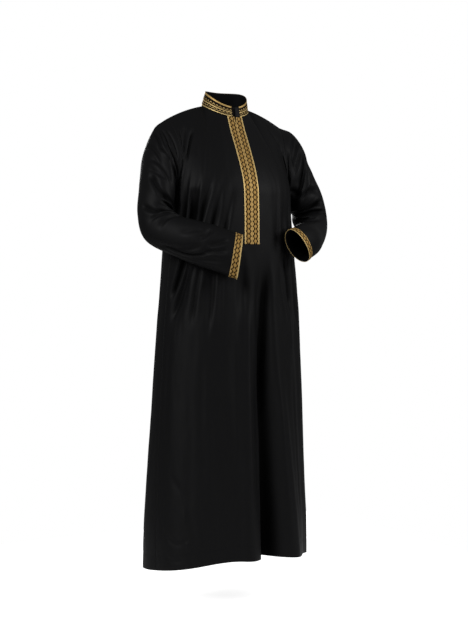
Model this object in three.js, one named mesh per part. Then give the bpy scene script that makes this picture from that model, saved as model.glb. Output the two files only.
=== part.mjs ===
// A qamis: a long black robe with a standing collar and gold braid, hollow, in the form it has when worn.
// Millimetres, +Z up. The wearer faces -Y and the wearer's left is +X.
// The origin is in the middle of the neck, level with its sides, where the shoulders carry the robe.
import * as THREE from "three";

// ---------------------------------------------------------------------------- driving sizes
const CLOTH = 1.6; // wall of the panels and sleeves
const COLLAR_CLOTH = 2; // the collar is two layers with a stiffener
const BRAID = 1.1; // thickness of the woven braid
const SEAM_GAP = 0.3; // between pieces along a seam, and between a braid and its panel
const SET_IN_GAP = 0.9; // the same on a sleeve and the collar, whose seams turn sharply
const BRAID_WIDTH = 26; // one strip of braid
const UNDERARM_Z = -268; // lowest point of the armholes
const PLACKET_END_Z = -425; // the slit and its braid end here
const SLIT_OPEN = 3.5; // half width of the small opening under the collar
const SLIT_OPEN_DEPTH = 24; // how far down that opening closes
const SHOULDER = { x: 208, y: 2, z: -39 }; // outer end of the shoulder seam
const SHOULDER_BOW = 6; // rise of the shoulder seam over a straight line
const CENTRE_Y = -20; // axis of the body's rings

const DEG = Math.PI / 180;

// Neckline and the collar's top edge, as loops: half sizes, middle, and height at front, side and back.
const NECK = { halfX: 76, front: -68, back: 57, zFront: -25, zSide: 10, zBack: 22 };
const COLLAR_TOP = { halfX: 69, front: -61, back: 35, zFront: 7, zSide: 50, zBack: 62 };
const NECK_SIDE_ANGLE = 95; // the shoulder seam meets the neckline here, in degrees from the front

// Body rings, from underarm to hem: reach to each side of the axis, and how square the ring is.
const RINGS = [
  { z: -268, right: 206, left: 206, front: 148, back: 136, square: 2.5 },
  { z: -350, right: 207, left: 208, front: 151, back: 134, square: 2.5 },
  { z: -459, right: 216, left: 224, front: 152, back: 136, square: 2.35 },
  { z: -587, right: 228, left: 242, front: 155, back: 144, square: 2.2 },
  { z: -663, right: 236, left: 249, front: 158, back: 152, square: 2.15 },
  { z: -785, right: 246, left: 255, front: 162, back: 162, square: 2.1 },
  { z: -919, right: 256, left: 261, front: 170, back: 172, square: 2.05 },
  { z: -1148, right: 274, left: 268, front: 189, back: 192, square: 2 },
  { z: -1301, right: 285, left: 273, front: 203, back: 206, square: 2 },
  { z: -1450, right: 289, left: 274, front: 213, back: 216, square: 2 },
];

// Angle of the side seams from the front, in degrees, by height.
const SIDE_SEAM = [
  { z: -268, angle: 86 },
  { z: -780, angle: 82 },
  { z: -1450, angle: 75 },
];

// Height of the hem by angle from the front.
const HEM = [
  { t: -180, z: -1436 },
  { t: -90, z: -1422 },
  { t: -50, z: -1404 },
  { t: -20, z: -1386 },
  { t: 0, z: -1388 },
  { t: 40, z: -1402 },
  { t: 90, z: -1422 },
  { t: 135, z: -1432 },
  { t: 180, z: -1436 },
];

// Folds of the body. Each runs from its top to its end; t and width are in degrees round the body,
// depth is outward at the top, the middle and the end, so a trough has a minus.
const FOLD_ENTRY = 0.12; // share of a fold over which it starts
const FOLDS = [
  { tTop: 9, zTop: -500, tEnd: 13, zEnd: -1460, width: 5, widthEnd: 9, top: -6, mid: -50, end: -88 },
  { tTop: -4, zTop: -540, tEnd: -8, zEnd: -1460, width: 5, widthEnd: 6, top: 2, mid: 8, end: 14 },
  { tTop: 17, zTop: -600, tEnd: 32, zEnd: -1460, width: 5, widthEnd: 8, top: 0, mid: 12, end: 12 },
  { tTop: 48, zTop: -520, tEnd: 55, zEnd: -1460, width: 8, widthEnd: 10, top: -6, mid: -8, end: -12 },
  { tTop: -6, zTop: -480, tEnd: -7, zEnd: -680, width: 3.5, widthEnd: 4, top: 0, mid: -9, end: 0 },
  { tTop: -56, zTop: -440, tEnd: -74, zEnd: -720, width: 8, widthEnd: 8, top: -12, mid: -14, end: 0 },
  { tTop: -34, zTop: -440, tEnd: -40, zEnd: -680, width: 7, widthEnd: 7, top: -10, mid: -9, end: 0 },
  { tTop: -53, zTop: -250, tEnd: -56, zEnd: -450, width: 7, widthEnd: 7, top: -3, mid: -12, end: -8 },
  { tTop: -26, zTop: -270, tEnd: -28, zEnd: -460, width: 6, widthEnd: 6, top: 0, mid: -9, end: -4 },
  { tTop: 40, zTop: -270, tEnd: 36, zEnd: -450, width: 6, widthEnd: 6, top: 0, mid: -7, end: 0 },
  { tTop: -62, zTop: -700, tEnd: -58, zEnd: -1460, width: 12, widthEnd: 12, top: 0, mid: 5, end: 9 },
  { tTop: -30, zTop: -700, tEnd: -30, zEnd: -1460, width: 12, widthEnd: 13, top: 0, mid: -3, end: -8 },
  { tTop: 80, zTop: -420, tEnd: 84, zEnd: -1460, width: 9, widthEnd: 9, top: -4, mid: -7, end: -13 },
  { tTop: 112, zTop: -380, tEnd: 108, zEnd: -1460, width: 10, widthEnd: 11, top: 0, mid: 9, end: 14 },
  { tTop: 138, zTop: -300, tEnd: 132, zEnd: -1460, width: 10, widthEnd: 12, top: 0, mid: -16, end: -30 },
  { tTop: 164, zTop: -330, tEnd: 158, zEnd: -1460, width: 11, widthEnd: 12, top: 0, mid: 7, end: 14 },
  { tTop: 186, zTop: -420, tEnd: 186, zEnd: -1460, width: 10, widthEnd: 12, top: 0, mid: -13, end: -26 },
  { tTop: 214, zTop: -330, tEnd: 214, zEnd: -1460, width: 11, widthEnd: 12, top: 0, mid: 6, end: 12 },
  { tTop: 238, zTop: -300, tEnd: 243, zEnd: -1460, width: 10, widthEnd: 11, top: 0, mid: -15, end: -28 },
];

// Tangents of the yoke's lines, by share of the top edge: 0 at the middle, 0.5 at the side of the neck,
// 1 at the shoulder. Leaving the edge (out, ahead, down) and reaching the underarm ring (in the same way).
const FRONT_YOKE = [
  { at: 0, out: 0, ahead: 65, down: 225, ringOut: 0, ringAhead: 14, ringDown: 235 },
  { at: 0.25, out: 12, ahead: 100, down: 205, ringOut: 0, ringAhead: 12, ringDown: 235 },
  { at: 0.5, out: 28, ahead: 170, down: 185, ringOut: 0, ringAhead: 8, ringDown: 235 },
  { at: 0.8, out: 0, ahead: 195, down: 165, ringOut: 6, ringAhead: 0, ringDown: 225 },
  { at: 1, out: -70, ahead: 260, down: 150, ringOut: 60, ringAhead: -170, ringDown: 60 },
];
const BACK_YOKE = [
  { at: 0, out: 0, ahead: 100, down: 265, ringOut: 0, ringAhead: 8, ringDown: 285 },
  { at: 0.25, out: 10, ahead: 120, down: 245, ringOut: 0, ringAhead: 6, ringDown: 275 },
  { at: 0.5, out: 20, ahead: 165, down: 195, ringOut: 0, ringAhead: 0, ringDown: 250 },
  { at: 0.8, out: 0, ahead: 180, down: 160, ringOut: 4, ringAhead: -10, ringDown: 225 },
  { at: 1, out: -50, ahead: 230, down: 150, ringOut: 40, ringAhead: -190, ringDown: 80 },
];

// Shares of the top edge where the grid's lines leave it, from the braid's edge to the shoulder.
const FRONT_LINES = [0.14, 0.205, 0.27, 0.34, 0.42, 0.5, 0.6, 0.7, 0.8, 0.9, 1];
const BACK_LINES = [0, 0.13, 0.26, 0.38, 0.5, 0.6, 0.7, 0.8, 0.9, 1];
const YOKE_ROWS = 9; // rows of the grid between the top edge and the underarm
// Rows below the underarm, as shares of the way to the hem.
const SKIRT_ROWS = [
  0.035, 0.07, 0.105, 0.139, 0.17, 0.2, 0.235, 0.275, 0.32, 0.37, 0.425, 0.485, 0.55, 0.62, 0.69, 0.76,
  0.83, 0.9, 0.962, 1,
];

// Sleeve sections: the outer line (over the shoulder, elbow and under the forearm), the inner line
// (underarm, elbow pit and over the forearm) and the reach to the front and back of the middle.
const SLEEVE_RIGHT = [
  { outer: [-208, 2, -39], inner: [-206, -38, -268], front: 74, back: 70 },
  { outer: [-247, -4, -66], inner: [-219, -36, -272], front: 66, back: 66 },
  { outer: [-271, -14, -112], inner: [-220, -40, -290], front: 68, back: 66 },
  { outer: [-294, -26, -174], inner: [-219, -50, -312], front: 66, back: 66 },
  { outer: [-312, -32, -250], inner: [-217, -66, -332], front: 62, back: 64 },
  { outer: [-324, -36, -334], inner: [-214, -92, -340], front: 56, back: 56 },
  { outer: [-310, -60, -414], inner: [-203, -128, -348], front: 50, back: 38 },
  { outer: [-230, -130, -470], inner: [-177, -162, -358], front: 44, back: 32 },
  { outer: [-160, -178, -502], inner: [-128, -188, -374], front: 40, back: 32 },
  { outer: [-81, -219, -532], inner: [-63, -222, -401], front: 37, back: 32 },
];
const SLEEVE_LEFT = [
  { outer: [208, 2, -39], inner: [206, -38, -268], front: 74, back: 70 },
  { outer: [259, -2, -58], inner: [221, -36, -272], front: 66, back: 66 },
  { outer: [273, -4, -112], inner: [228, -38, -292], front: 66, back: 64 },
  { outer: [302, -6, -172], inner: [232, -40, -312], front: 66, back: 64 },
  { outer: [338, -4, -240], inner: [244, -48, -322], front: 60, back: 60 },
  { outer: [367, 2, -326], inner: [246, -66, -340], front: 54, back: 54 },
  { outer: [352, -24, -396], inner: [240, -96, -352], front: 48, back: 44 },
  { outer: [290, -92, -440], inner: [220, -128, -352], front: 42, back: 38 },
  { outer: [232, -152, -462], inner: [175, -163, -362], front: 45, back: 34 },
  { outer: [180, -205, -476], inner: [117, -199, -381], front: 24, back: 32 },
];
const SLEEVE_RINGS = 20; // steps along a sleeve, the last one under its braid
const CUFF_START = 0.967; // share of the sleeve where the braid begins
const ARMHOLE_EASE = 0.3; // share of the sleeve over which the armhole's shape fades
const NEARBY = 0.01; // a small step along a sleeve, for its direction

// Creases of the sleeves: place along (0 shoulder, 1 cuff), slant, place round in degrees (0 outer line,
// 90 front, 180 inner line), their half widths, and depth.
const CREASE_FADE = 0.1; // share of a sleeve at each end over which they fade
const SLEEVE_CREASES = [
  { along: 0.5, slant: -0.05, round: 150, width: 0.03, spread: 55, depth: -13 },
  { along: 0.57, slant: 0.02, round: 165, width: 0.028, spread: 50, depth: -9 },
  { along: 0.43, slant: -0.09, round: 130, width: 0.026, spread: 45, depth: -8 },
  { along: 0.64, slant: 0.06, round: 140, width: 0.03, spread: 45, depth: -6 },
  { along: 0.16, slant: -0.1, round: 110, width: 0.04, spread: 35, depth: -7 },
  { along: 0.3, slant: 0.08, round: 70, width: 0.04, spread: 40, depth: -4 },
  { along: 0.3, slant: -0.08, round: 260, width: 0.04, spread: 45, depth: -6 },
  { along: 0.48, slant: 0.05, round: 230, width: 0.035, spread: 45, depth: -7 },
];

// ---------------------------------------------------------------------------- tables and curves
const mix = (a, b, share) => a + (b - a) * share;
const vector = (x, y, z) => new THREE.Vector3(x, y, z);

function smooth(value) {
  const held = Math.min(1, Math.max(0, value));
  return held * held * (3 - 2 * held);
}

// The value of one column of a table at a place, along a smooth curve through its rows.
function read(table, key, column, place) {
  const rising = table[table.length - 1][key] > table[0][key];
  const before = (row) => (rising ? row[key] <= place : row[key] >= place);
  let low = 0;
  while (low < table.length - 2 && before(table[low + 1])) low += 1;
  const row = (i) => table[Math.min(table.length - 1, Math.max(0, i))];
  const slope = (i) => {
    const span = row(i + 1)[key] - row(i - 1)[key];
    return span === 0 ? 0 : (row(i + 1)[column] - row(i - 1)[column]) / span;
  };
  const span = row(low + 1)[key] - row(low)[key];
  const s = Math.min(1, Math.max(0, (place - row(low)[key]) / span));
  const h = s * s * (3 - 2 * s);
  return (
    mix(row(low)[column], row(low + 1)[column], h) +
    span * s * (1 - s) * (slope(low) * (1 - s) - slope(low + 1) * s)
  );
}

// A point of a neck loop: the angle is from the front, and the height runs smoothly through three values.
function loopPoint(loop, angle) {
  const middle = (loop.front + loop.back) / 2;
  const halfY = (loop.back - loop.front) / 2;
  const cos = Math.cos(angle * DEG);
  const tilt = (loop.zFront - loop.zBack) / 2;
  const even = (loop.zFront + loop.zBack) / 2;
  const z = (even + loop.zSide) / 2 + tilt * cos + ((even - loop.zSide) / 2) * Math.cos(2 * angle * DEG);
  return vector(loop.halfX * Math.sin(angle * DEG), middle - halfY * cos, z);
}

// ---------------------------------------------------------------------------- the body
// Sum of the folds at an angle and height.
function foldAt(t, z) {
  let sum = 0;
  for (const fold of FOLDS) {
    const along = (fold.zTop - z) / (fold.zTop - fold.zEnd);
    if (along <= 0 || along >= 1) continue;
    const turn = t - mix(fold.tTop, fold.tEnd, along);
    const away = (turn - 360 * Math.round(turn / 360)) / mix(fold.width, fold.widthEnd, along);
    const entry = smooth(along / FOLD_ENTRY);
    const depth =
      along < 0.5
        ? mix(fold.top, fold.mid, smooth(along * 2))
        : mix(fold.mid, fold.end, smooth(along * 2 - 1));
    sum += depth * entry * Math.exp(-away * away);
  }
  return sum;
}

// A point of the body's ring: the angle is from the front, towards the wearer's left.
function ringPoint(t, z, folded = true) {
  const sin = Math.sin(t * DEG);
  const cos = Math.cos(t * DEG);
  const power = 2 / read(RINGS, "z", "square", z);
  const halfX = read(RINGS, "z", sin < 0 ? "right" : "left", z);
  const halfY = read(RINGS, "z", cos > 0 ? "front" : "back", z);
  const out = folded ? foldAt(t, z) : 0;
  const x = Math.sign(sin) * Math.abs(sin) ** power * halfX + sin * out;
  const y = CENTRE_Y - Math.sign(cos) * Math.abs(cos) ** power * halfY - cos * out;
  return vector(x, y, z);
}

// The angle at which the ring passes a given distance from the middle.
function angleAt(x, z) {
  const halfX = read(RINGS, "z", x < 0 ? "right" : "left", z);
  const power = read(RINGS, "z", "square", z) / 2;
  return (Math.sign(x) * Math.asin((Math.abs(x) / halfX) ** power)) / DEG;
}

// A grid line of a panel: where it leaves the top edge, and its angle by height.
function frontLine(side, share) {
  return { side, share, angle: (z) => side * share * read(SIDE_SEAM, "z", "angle", z) };
}

function placketLine(x) {
  const share = Math.asin(Math.abs(x) / NECK.halfX) / DEG / NECK_SIDE_ANGLE / 2;
  return { side: Math.sign(x) || 1, share, angle: (z) => angleAt(x, z) };
}

function backLine(side, share) {
  return { side, share, angle: (z) => side * mix(180, read(SIDE_SEAM, "z", "angle", z), share) };
}

// The top edge of a panel: neckline up to the side of the neck, then the shoulder seam.
function topPoint(line, isFront) {
  const neckAngle = isFront
    ? 2 * line.share * NECK_SIDE_ANGLE
    : mix(180, NECK_SIDE_ANGLE, 2 * line.share);
  if (line.share <= 0.5) return loopPoint(NECK, line.side * neckAngle);
  const along = 2 * line.share - 1;
  const neck = loopPoint(NECK, NECK_SIDE_ANGLE);
  const rise = SHOULDER_BOW * 4 * along * (1 - along);
  return vector(
    line.side * mix(neck.x, SHOULDER.x, along),
    mix(neck.y, SHOULDER.y, along),
    mix(neck.z, SHOULDER.z, along) + rise,
  );
}

// A point of a yoke line between its top edge and the underarm ring.
function yokePoint(line, isFront, share) {
  const table = isFront ? FRONT_YOKE : BACK_YOKE;
  const ahead = isFront ? -1 : 1;
  const value = (column) => read(table, "at", column, line.share);
  const top = topPoint(line, isFront);
  const t = line.angle(UNDERARM_Z);
  const ring = ringPoint(t, UNDERARM_Z, false);
  const leaving = vector(line.side * value("out"), ahead * value("ahead"), -value("down"));
  const reaching = vector(line.side * value("ringOut"), ahead * value("ringAhead"), -value("ringDown"));
  const s = share;
  const point = vector(0, 0, 0)
    .addScaledVector(top, 2 * s ** 3 - 3 * s ** 2 + 1)
    .addScaledVector(leaving, s ** 3 - 2 * s ** 2 + s)
    .addScaledVector(ring, 3 * s ** 2 - 2 * s ** 3)
    .addScaledVector(reaching, s ** 3 - s ** 2);
  const out = foldAt(t, point.z);
  return point.add(vector(Math.sin(t * DEG) * out, -Math.cos(t * DEG) * out, 0));
}

// A point of a panel's grid, row by row from the top edge to the hem.
function panelPoint(line, isFront, row) {
  if (row < YOKE_ROWS) return yokePoint(line, isFront, row / YOKE_ROWS);
  const share = row === YOKE_ROWS ? 0 : SKIRT_ROWS[row - YOKE_ROWS - 1];
  let z = mix(UNDERARM_Z, read(HEM, "t", "z", 0), share);
  const turn = line.angle(z);
  const t = turn > 180 ? turn - 360 : turn;
  z = mix(UNDERARM_Z, read(HEM, "t", "z", t), share);
  return ringPoint(line.angle(z), z);
}

// ---------------------------------------------------------------------------- grids and walls
// A patch is a list of points and of quads that face out. The columns of a tube close on themselves, and
// a slit doubles the points of one column down to a row.
function gridPatch({ rows, columns, closed = false, slitColumn = -1, slitRows = 0, pointAt }) {
  const points = [];
  const index = [];
  for (let r = 0; r < rows; r += 1) {
    index.push([]);
    for (let c = 0; c < columns; c += 1) {
      const point = pointAt(r, c);
      const left = points.push(point) - 1;
      const split = c === slitColumn && r < slitRows;
      const right = split ? points.push(point.clone()) - 1 : left;
      index[r].push({ left, right });
    }
  }
  const quads = [];
  const lastColumn = closed ? columns : columns - 1;
  for (let r = 0; r + 1 < rows; r += 1) {
    for (let c = 0; c < lastColumn; c += 1) {
      const next = (c + 1) % columns;
      quads.push([index[r][c].right, index[r + 1][c].right, index[r + 1][next].left, index[r][next].left]);
    }
  }
  return { points, quads, index };
}

const trianglesOf = (patch) => patch.quads.flatMap(([a, b, c, d]) => [[a, b, c], [a, c, d]]);

// Edges that only one triangle has, in its own direction.
function freeEdges(triangles) {
  const seen = new Map();
  for (const triangle of triangles) {
    for (let i = 0; i < 3; i += 1) {
      const from = triangle[i];
      const to = triangle[(i + 1) % 3];
      seen.set(`${from},${to}`, [from, to]);
    }
  }
  return [...seen.values()].filter(([from, to]) => !seen.has(`${to},${from}`));
}

// Normals of all patches at once: points that lie together, as along a seam, share one normal, so the
// walls that meet there stay parallel.
const SAME_PLACE = 0.02; // mm
const placeOf = (point) => [point.x, point.y, point.z].map((v) => Math.round(v / SAME_PLACE)).join();

function shareNormals(patches) {
  const sums = new Map();
  for (const patch of patches) {
    for (const [a, b, c] of trianglesOf(patch)) {
      const [pa, pb, pc] = [a, b, c].map((i) => patch.points[i]);
      const normal = pb.clone().sub(pa).cross(pc.clone().sub(pa));
      for (const point of [pa, pb, pc]) {
        const place = placeOf(point);
        if (!sums.has(place)) sums.set(place, vector(0, 0, 0));
        sums.get(place).add(normal);
      }
    }
  }
  for (const patch of patches) {
    patch.normals = patch.points.map((point) => sums.get(placeOf(point)).clone().normalize());
  }
}

// Moves a patch's free edges back into it by half a gap, so that neighbours part by a whole one.
function pullEdges(patch, gap) {
  const pulls = new Map();
  for (const [from, to] of freeEdges(trianglesOf(patch))) {
    const along = patch.points[to].clone().sub(patch.points[from]);
    for (const i of [from, to]) {
      const inward = patch.normals[i].clone().cross(along).normalize();
      if (!pulls.has(i)) pulls.set(i, []);
      pulls.get(i).push(inward);
    }
  }
  const moved = patch.points.map((point) => point.clone());
  for (const [i, [first, second]] of pulls) {
    const spread = Math.max(0.3, 1 + first.dot(second));
    moved[i].addScaledVector(first.clone().add(second), gap / 2 / spread);
  }
  return { ...patch, points: moved };
}

// A closed wall: the outer skin at one distance along the normals, the inner skin at another, and a rim
// along every free edge.
function wallGeometry(patch, outer, inner) {
  const count = patch.points.length;
  const moved = (point, i, distance) => point.clone().addScaledVector(patch.normals[i], distance);
  const skin = (distance) => patch.points.map((point, i) => moved(point, i, distance));
  const triangles = trianglesOf(patch);
  const faces = [];
  for (const [a, b, c] of triangles) {
    faces.push([a, b, c], [c + count, b + count, a + count]);
  }
  for (const [from, to] of freeEdges(triangles)) {
    faces.push([to, from, from + count], [to, from + count, to + count]);
  }
  const geometry = new THREE.BufferGeometry();
  geometry.setFromPoints([...skin(outer), ...skin(inner)]);
  geometry.setIndex(faces.flat());
  return geometry;
}

// A stretch of a patch, on its own points and normals, such as the ground that a braid lies on.
function stretchOf(patch, rows, columns) {
  const points = [];
  const normals = [];
  const place = new Map();
  function take(i) {
    if (!place.has(i)) {
      place.set(i, points.push(patch.points[i]) - 1);
      normals.push(patch.normals[i]);
    }
    return place.get(i);
  }
  const quads = [];
  const across = patch.index[0].length;
  for (let r = rows[0]; r < rows[1]; r += 1) {
    for (let c = columns[0]; c < columns[1]; c += 1) {
      const next = patch.index[r][(c + 1) % across];
      const below = patch.index[r + 1];
      const corners = [patch.index[r][c].right, below[c].right, below[(c + 1) % across].left, next.left];
      quads.push(corners.map(take));
    }
  }
  return { points, normals, quads };
}

// ---------------------------------------------------------------------------- patches of the robe
const placketLines = [-BRAID_WIDTH, -BRAID_WIDTH / 2, 0, BRAID_WIDTH / 2, BRAID_WIDTH].map(placketLine);
const frontLines = [
  ...FRONT_LINES.toReversed().map((share) => frontLine(-1, share)),
  ...placketLines,
  ...FRONT_LINES.map((share) => frontLine(1, share)),
];
const backLines = [
  ...BACK_LINES.slice(1).toReversed().map((share) => backLine(1, share)),
  ...BACK_LINES.map((share) => backLine(-1, share)),
];
const panelRows = YOKE_ROWS + 1 + SKIRT_ROWS.length;
const centreColumn = (frontLines.length - 1) / 2;
const placketRow = panelRowAt(PLACKET_END_Z);

// The row of the panel's grid that lies nearest a height on the centre line.
function panelRowAt(z) {
  let best = 0;
  for (let row = 0; row < panelRows; row += 1) {
    const height = (r) => panelPoint(frontLines[centreColumn], true, r).z;
    if (Math.abs(height(row) - z) < Math.abs(height(best) - z)) best = row;
  }
  return best;
}

const frontPatch = gridPatch({
  rows: panelRows,
  columns: frontLines.length,
  slitColumn: centreColumn,
  slitRows: placketRow,
  pointAt: (r, c) => panelPoint(frontLines[c], true, r),
});
const backPatch = gridPatch({
  rows: panelRows,
  columns: backLines.length,
  pointAt: (r, c) => panelPoint(backLines[c], false, r),
});

// The armhole as a ring: from the shoulder down the front, under the arm and up the back.
function armholeRing(side) {
  const front = frontLine(side, 1);
  const back = backLine(side, 1);
  const ring = [];
  for (let row = 0; row <= YOKE_ROWS; row += 1) ring.push(panelPoint(front, true, row));
  for (let row = YOKE_ROWS - 1; row > 0; row -= 1) ring.push(panelPoint(back, false, row));
  return ring;
}

// Sum of a sleeve's creases at a place along and round it.
function creaseAt(along, round) {
  let sum = 0;
  for (const crease of SLEEVE_CREASES) {
    const turn = round - crease.round;
    const aside = turn - 360 * Math.round(turn / 360);
    const near = (along - crease.along - (crease.slant * aside) / 90) / crease.width;
    sum += crease.depth * Math.exp(-near * near - (aside / crease.spread) ** 2);
  }
  return sum;
}

// A sleeve: sections along two lines, easing out of the armhole's own shape.
function sleevePatch(side, sections) {
  const outerLine = new THREE.CatmullRomCurve3(sections.map((row) => vector(...row.outer)));
  const innerLine = new THREE.CatmullRomCurve3(sections.map((row) => vector(...row.inner)));
  const table = sections.map((row, i) => ({ ...row, at: i / (sections.length - 1) }));
  const armhole = armholeRing(side);
  const steps = armhole.length;
  const middle = (share) => outerLine.getPoint(share).add(innerLine.getPoint(share)).multiplyScalar(0.5);
  function sectionPoint(share, round) {
    const outer = outerLine.getPoint(share);
    const inner = innerLine.getPoint(share);
    const half = outer.clone().sub(inner).multiplyScalar(0.5);
    const tangent = middle(Math.min(1, share + NEARBY)).sub(middle(Math.max(0, share - NEARBY)));
    const frontward = tangent.clone().cross(half).normalize().multiplyScalar(side);
    const sin = Math.sin(round * DEG);
    const reach = read(table, "at", sin > 0 ? "front" : "back", share);
    const point = outer.add(inner).multiplyScalar(0.5);
    point.addScaledVector(half, Math.cos(round * DEG));
    return point.addScaledVector(frontward, sin * reach);
  }
  function pointAt(row, column) {
    const around = side < 0 ? column : (steps - column) % steps;
    const round = (360 * around) / steps;
    const share = row < SLEEVE_RINGS ? (CUFF_START * row) / (SLEEVE_RINGS - 1) : 1;
    const point = sectionPoint(share, round);
    const centre = middle(share);
    const out = point.clone().sub(centre).normalize();
    const ease = (1 - smooth(share / ARMHOLE_EASE)) ** 1.5;
    const shift = armhole[around].clone().sub(sectionPoint(0, round));
    const fade = smooth(share / CREASE_FADE) * smooth((1 - share) / CREASE_FADE);
    return point.addScaledVector(shift, ease).addScaledVector(out, creaseAt(share, round) * fade);
  }
  return gridPatch({ rows: SLEEVE_RINGS + 1, columns: steps, closed: true, pointAt });
}

// The collar stands on the neckline's own points: from the slit round the back to the slit.
const COLLAR_ROWS = 3;
const neckLines = [
  ...frontLines.slice(centreColumn).filter((line) => line.share <= 0.5),
  ...backLines.filter((line) => line.share < 0.5),
  ...frontLines.slice(0, centreColumn).filter((line) => line.share <= 0.5),
  frontLines[centreColumn],
];

function collarPoint(row, column) {
  const last = column === neckLines.length - 1;
  const line = neckLines[column];
  const base = topPoint(line, frontLines.includes(line));
  const middle = (NECK.front + NECK.back) / 2;
  let angle = Math.atan2(base.x / NECK.halfX, -(base.y - middle) / (NECK.back - middle)) / DEG;
  if (last) angle = 0;
  const top = loopPoint(COLLAR_TOP, angle);
  return top.lerp(base, row / COLLAR_ROWS);
}

const collarPatch = gridPatch({ rows: COLLAR_ROWS + 1, columns: neckLines.length, pointAt: collarPoint });
const sleevePatches = { left: sleevePatch(1, SLEEVE_LEFT), right: sleevePatch(-1, SLEEVE_RIGHT) };
const patches = [frontPatch, backPatch, collarPatch, sleevePatches.left, sleevePatches.right];
shareNormals(patches);

// Opens the slit under the collar and the collar's own ends, which are drawn closed until here.
for (let row = 0; row < placketRow; row += 1) {
  const { left, right } = frontPatch.index[row][centreColumn];
  const depth = frontPatch.points[frontPatch.index[0][centreColumn].left].z - frontPatch.points[left].z;
  const open = SLIT_OPEN * Math.max(0, 1 - depth / SLIT_OPEN_DEPTH);
  frontPatch.points[left].x -= open;
  frontPatch.points[right].x += open;
}
for (const row of collarPatch.index) {
  collarPatch.points[row[0].left].x += SLIT_OPEN;
  collarPatch.points[row.at(-1).left].x -= SLIT_OPEN;
}

// ---------------------------------------------------------------------------- the parts
const black = { color: 0x17171a, roughness: 0.62, metalness: 0 };
const gold = { color: 0xb08d3a, roughness: 0.45, metalness: 0.5 };

const robe = new THREE.Group();

function addWall(name, patch, finish, outer, inner, gap = SEAM_GAP) {
  const mesh = new THREE.Mesh(
    wallGeometry(pullEdges(patch, gap), outer, inner),
    new THREE.MeshStandardMaterial({ ...finish, name }),
  );
  mesh.name = name;
  robe.add(mesh);
}

const addCloth = (name, patch) => addWall(name, patch, black, 0, -CLOTH);
const addBraid = (name, ground) => addWall(name, ground, gold, SEAM_GAP + BRAID, SEAM_GAP);

addCloth("front", frontPatch);
addCloth("back", backPatch);
addWall("sleeve_left", sleevePatches.left, black, 0, -CLOTH, SET_IN_GAP);
addWall("sleeve_right", sleevePatches.right, black, 0, -CLOTH, SET_IN_GAP);
addWall("collar", collarPatch, black, 0, -COLLAR_CLOTH, SET_IN_GAP);

// The collar's braid starts a little way from its wearer's-left end.
addBraid("collar_braid", stretchOf(collarPatch, [0, COLLAR_ROWS], [1, neckLines.length - 1]));
const STRIP_COLUMNS = 2; // of the front's grid, on each side of the slit
const leftStrip = [centreColumn, centreColumn + STRIP_COLUMNS];
const rightStrip = [centreColumn - STRIP_COLUMNS, centreColumn];
addBraid("placket_braid_left", stretchOf(frontPatch, [0, placketRow], leftStrip));
addBraid("placket_braid_right", stretchOf(frontPatch, [0, placketRow], rightStrip));
const allRound = [0, 2 * YOKE_ROWS];
const cuffRows = [SLEEVE_RINGS - 1, SLEEVE_RINGS];
addBraid("cuff_braid_left", stretchOf(sleevePatches.left, cuffRows, allRound));
addBraid("cuff_braid_right", stretchOf(sleevePatches.right, cuffRows, allRound));

export default robe;
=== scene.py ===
# %% [markdown]
# # A black qamis with gold braid
# A qamis is a long robe, cut from a few flat panels and hung from the shoulders. This lesson
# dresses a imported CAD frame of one: every cloth piece becomes a thin shell with soft folds, and
# the gold braid gets its woven pattern. The frame is loaded first, because each new piece has to
# stand where its solid stands.

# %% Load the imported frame
import bisect
import math
from collections import namedtuple
from functools import lru_cache, partial

import bmesh
import bpy
from mathutils import Matrix, Vector, noise


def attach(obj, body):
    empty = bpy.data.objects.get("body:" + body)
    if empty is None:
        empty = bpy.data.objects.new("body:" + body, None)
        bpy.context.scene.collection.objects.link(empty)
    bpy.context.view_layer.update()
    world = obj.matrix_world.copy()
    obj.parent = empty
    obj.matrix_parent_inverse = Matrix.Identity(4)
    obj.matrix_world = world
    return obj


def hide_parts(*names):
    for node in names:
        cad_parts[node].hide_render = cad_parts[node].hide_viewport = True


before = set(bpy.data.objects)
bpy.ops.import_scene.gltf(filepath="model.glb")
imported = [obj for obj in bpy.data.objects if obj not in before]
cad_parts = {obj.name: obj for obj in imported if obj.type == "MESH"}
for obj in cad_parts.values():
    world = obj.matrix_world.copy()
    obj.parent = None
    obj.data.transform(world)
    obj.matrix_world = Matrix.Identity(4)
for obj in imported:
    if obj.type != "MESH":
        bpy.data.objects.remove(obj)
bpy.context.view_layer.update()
print("nodes:", ", ".join(sorted(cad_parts)))

# %% [markdown]
# ## The camera comes first
# The camera stands a little to the wearer's right and looks slightly down, from four metres away.
# A long lens keeps the robe's upright lines nearly parallel. The focal length is worked out from
# the picture's height in pixels, so the framing can be read straight from the numbers.

# %% Camera
MM = 0.001  # the pattern's tables are in millimetres, and Blender works in metres
SENSOR = 36.0  # millimetres along the long side of the picture
PICTURE_HEIGHT = 622
FOCAL_PIXELS = 1256
CAMERA_PLACE = Vector((-2.0, -3.4641, -0.54))
AIM_RIGHT_PIXELS = 10
AIM_DOWN_PIXELS = 29.4
FACING = math.radians(30)  # how far the camera stands round towards the wearer's right

turn = -FACING - math.atan(AIM_RIGHT_PIXELS / FOCAL_PIXELS)
tilt = math.radians(90) - math.atan(AIM_DOWN_PIXELS / FOCAL_PIXELS)
camera_data = bpy.data.cameras.new("camera")
camera_data.sensor_width = SENSOR
camera_data.lens = SENSOR * FOCAL_PIXELS / PICTURE_HEIGHT
camera = bpy.data.objects.new("camera", camera_data)
camera.location = CAMERA_PLACE
camera.rotation_euler = (tilt, 0, turn)
bpy.context.scene.collection.objects.link(camera)
bpy.context.scene.camera = camera
print(f"lens {camera_data.lens:.1f} mm")

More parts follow.
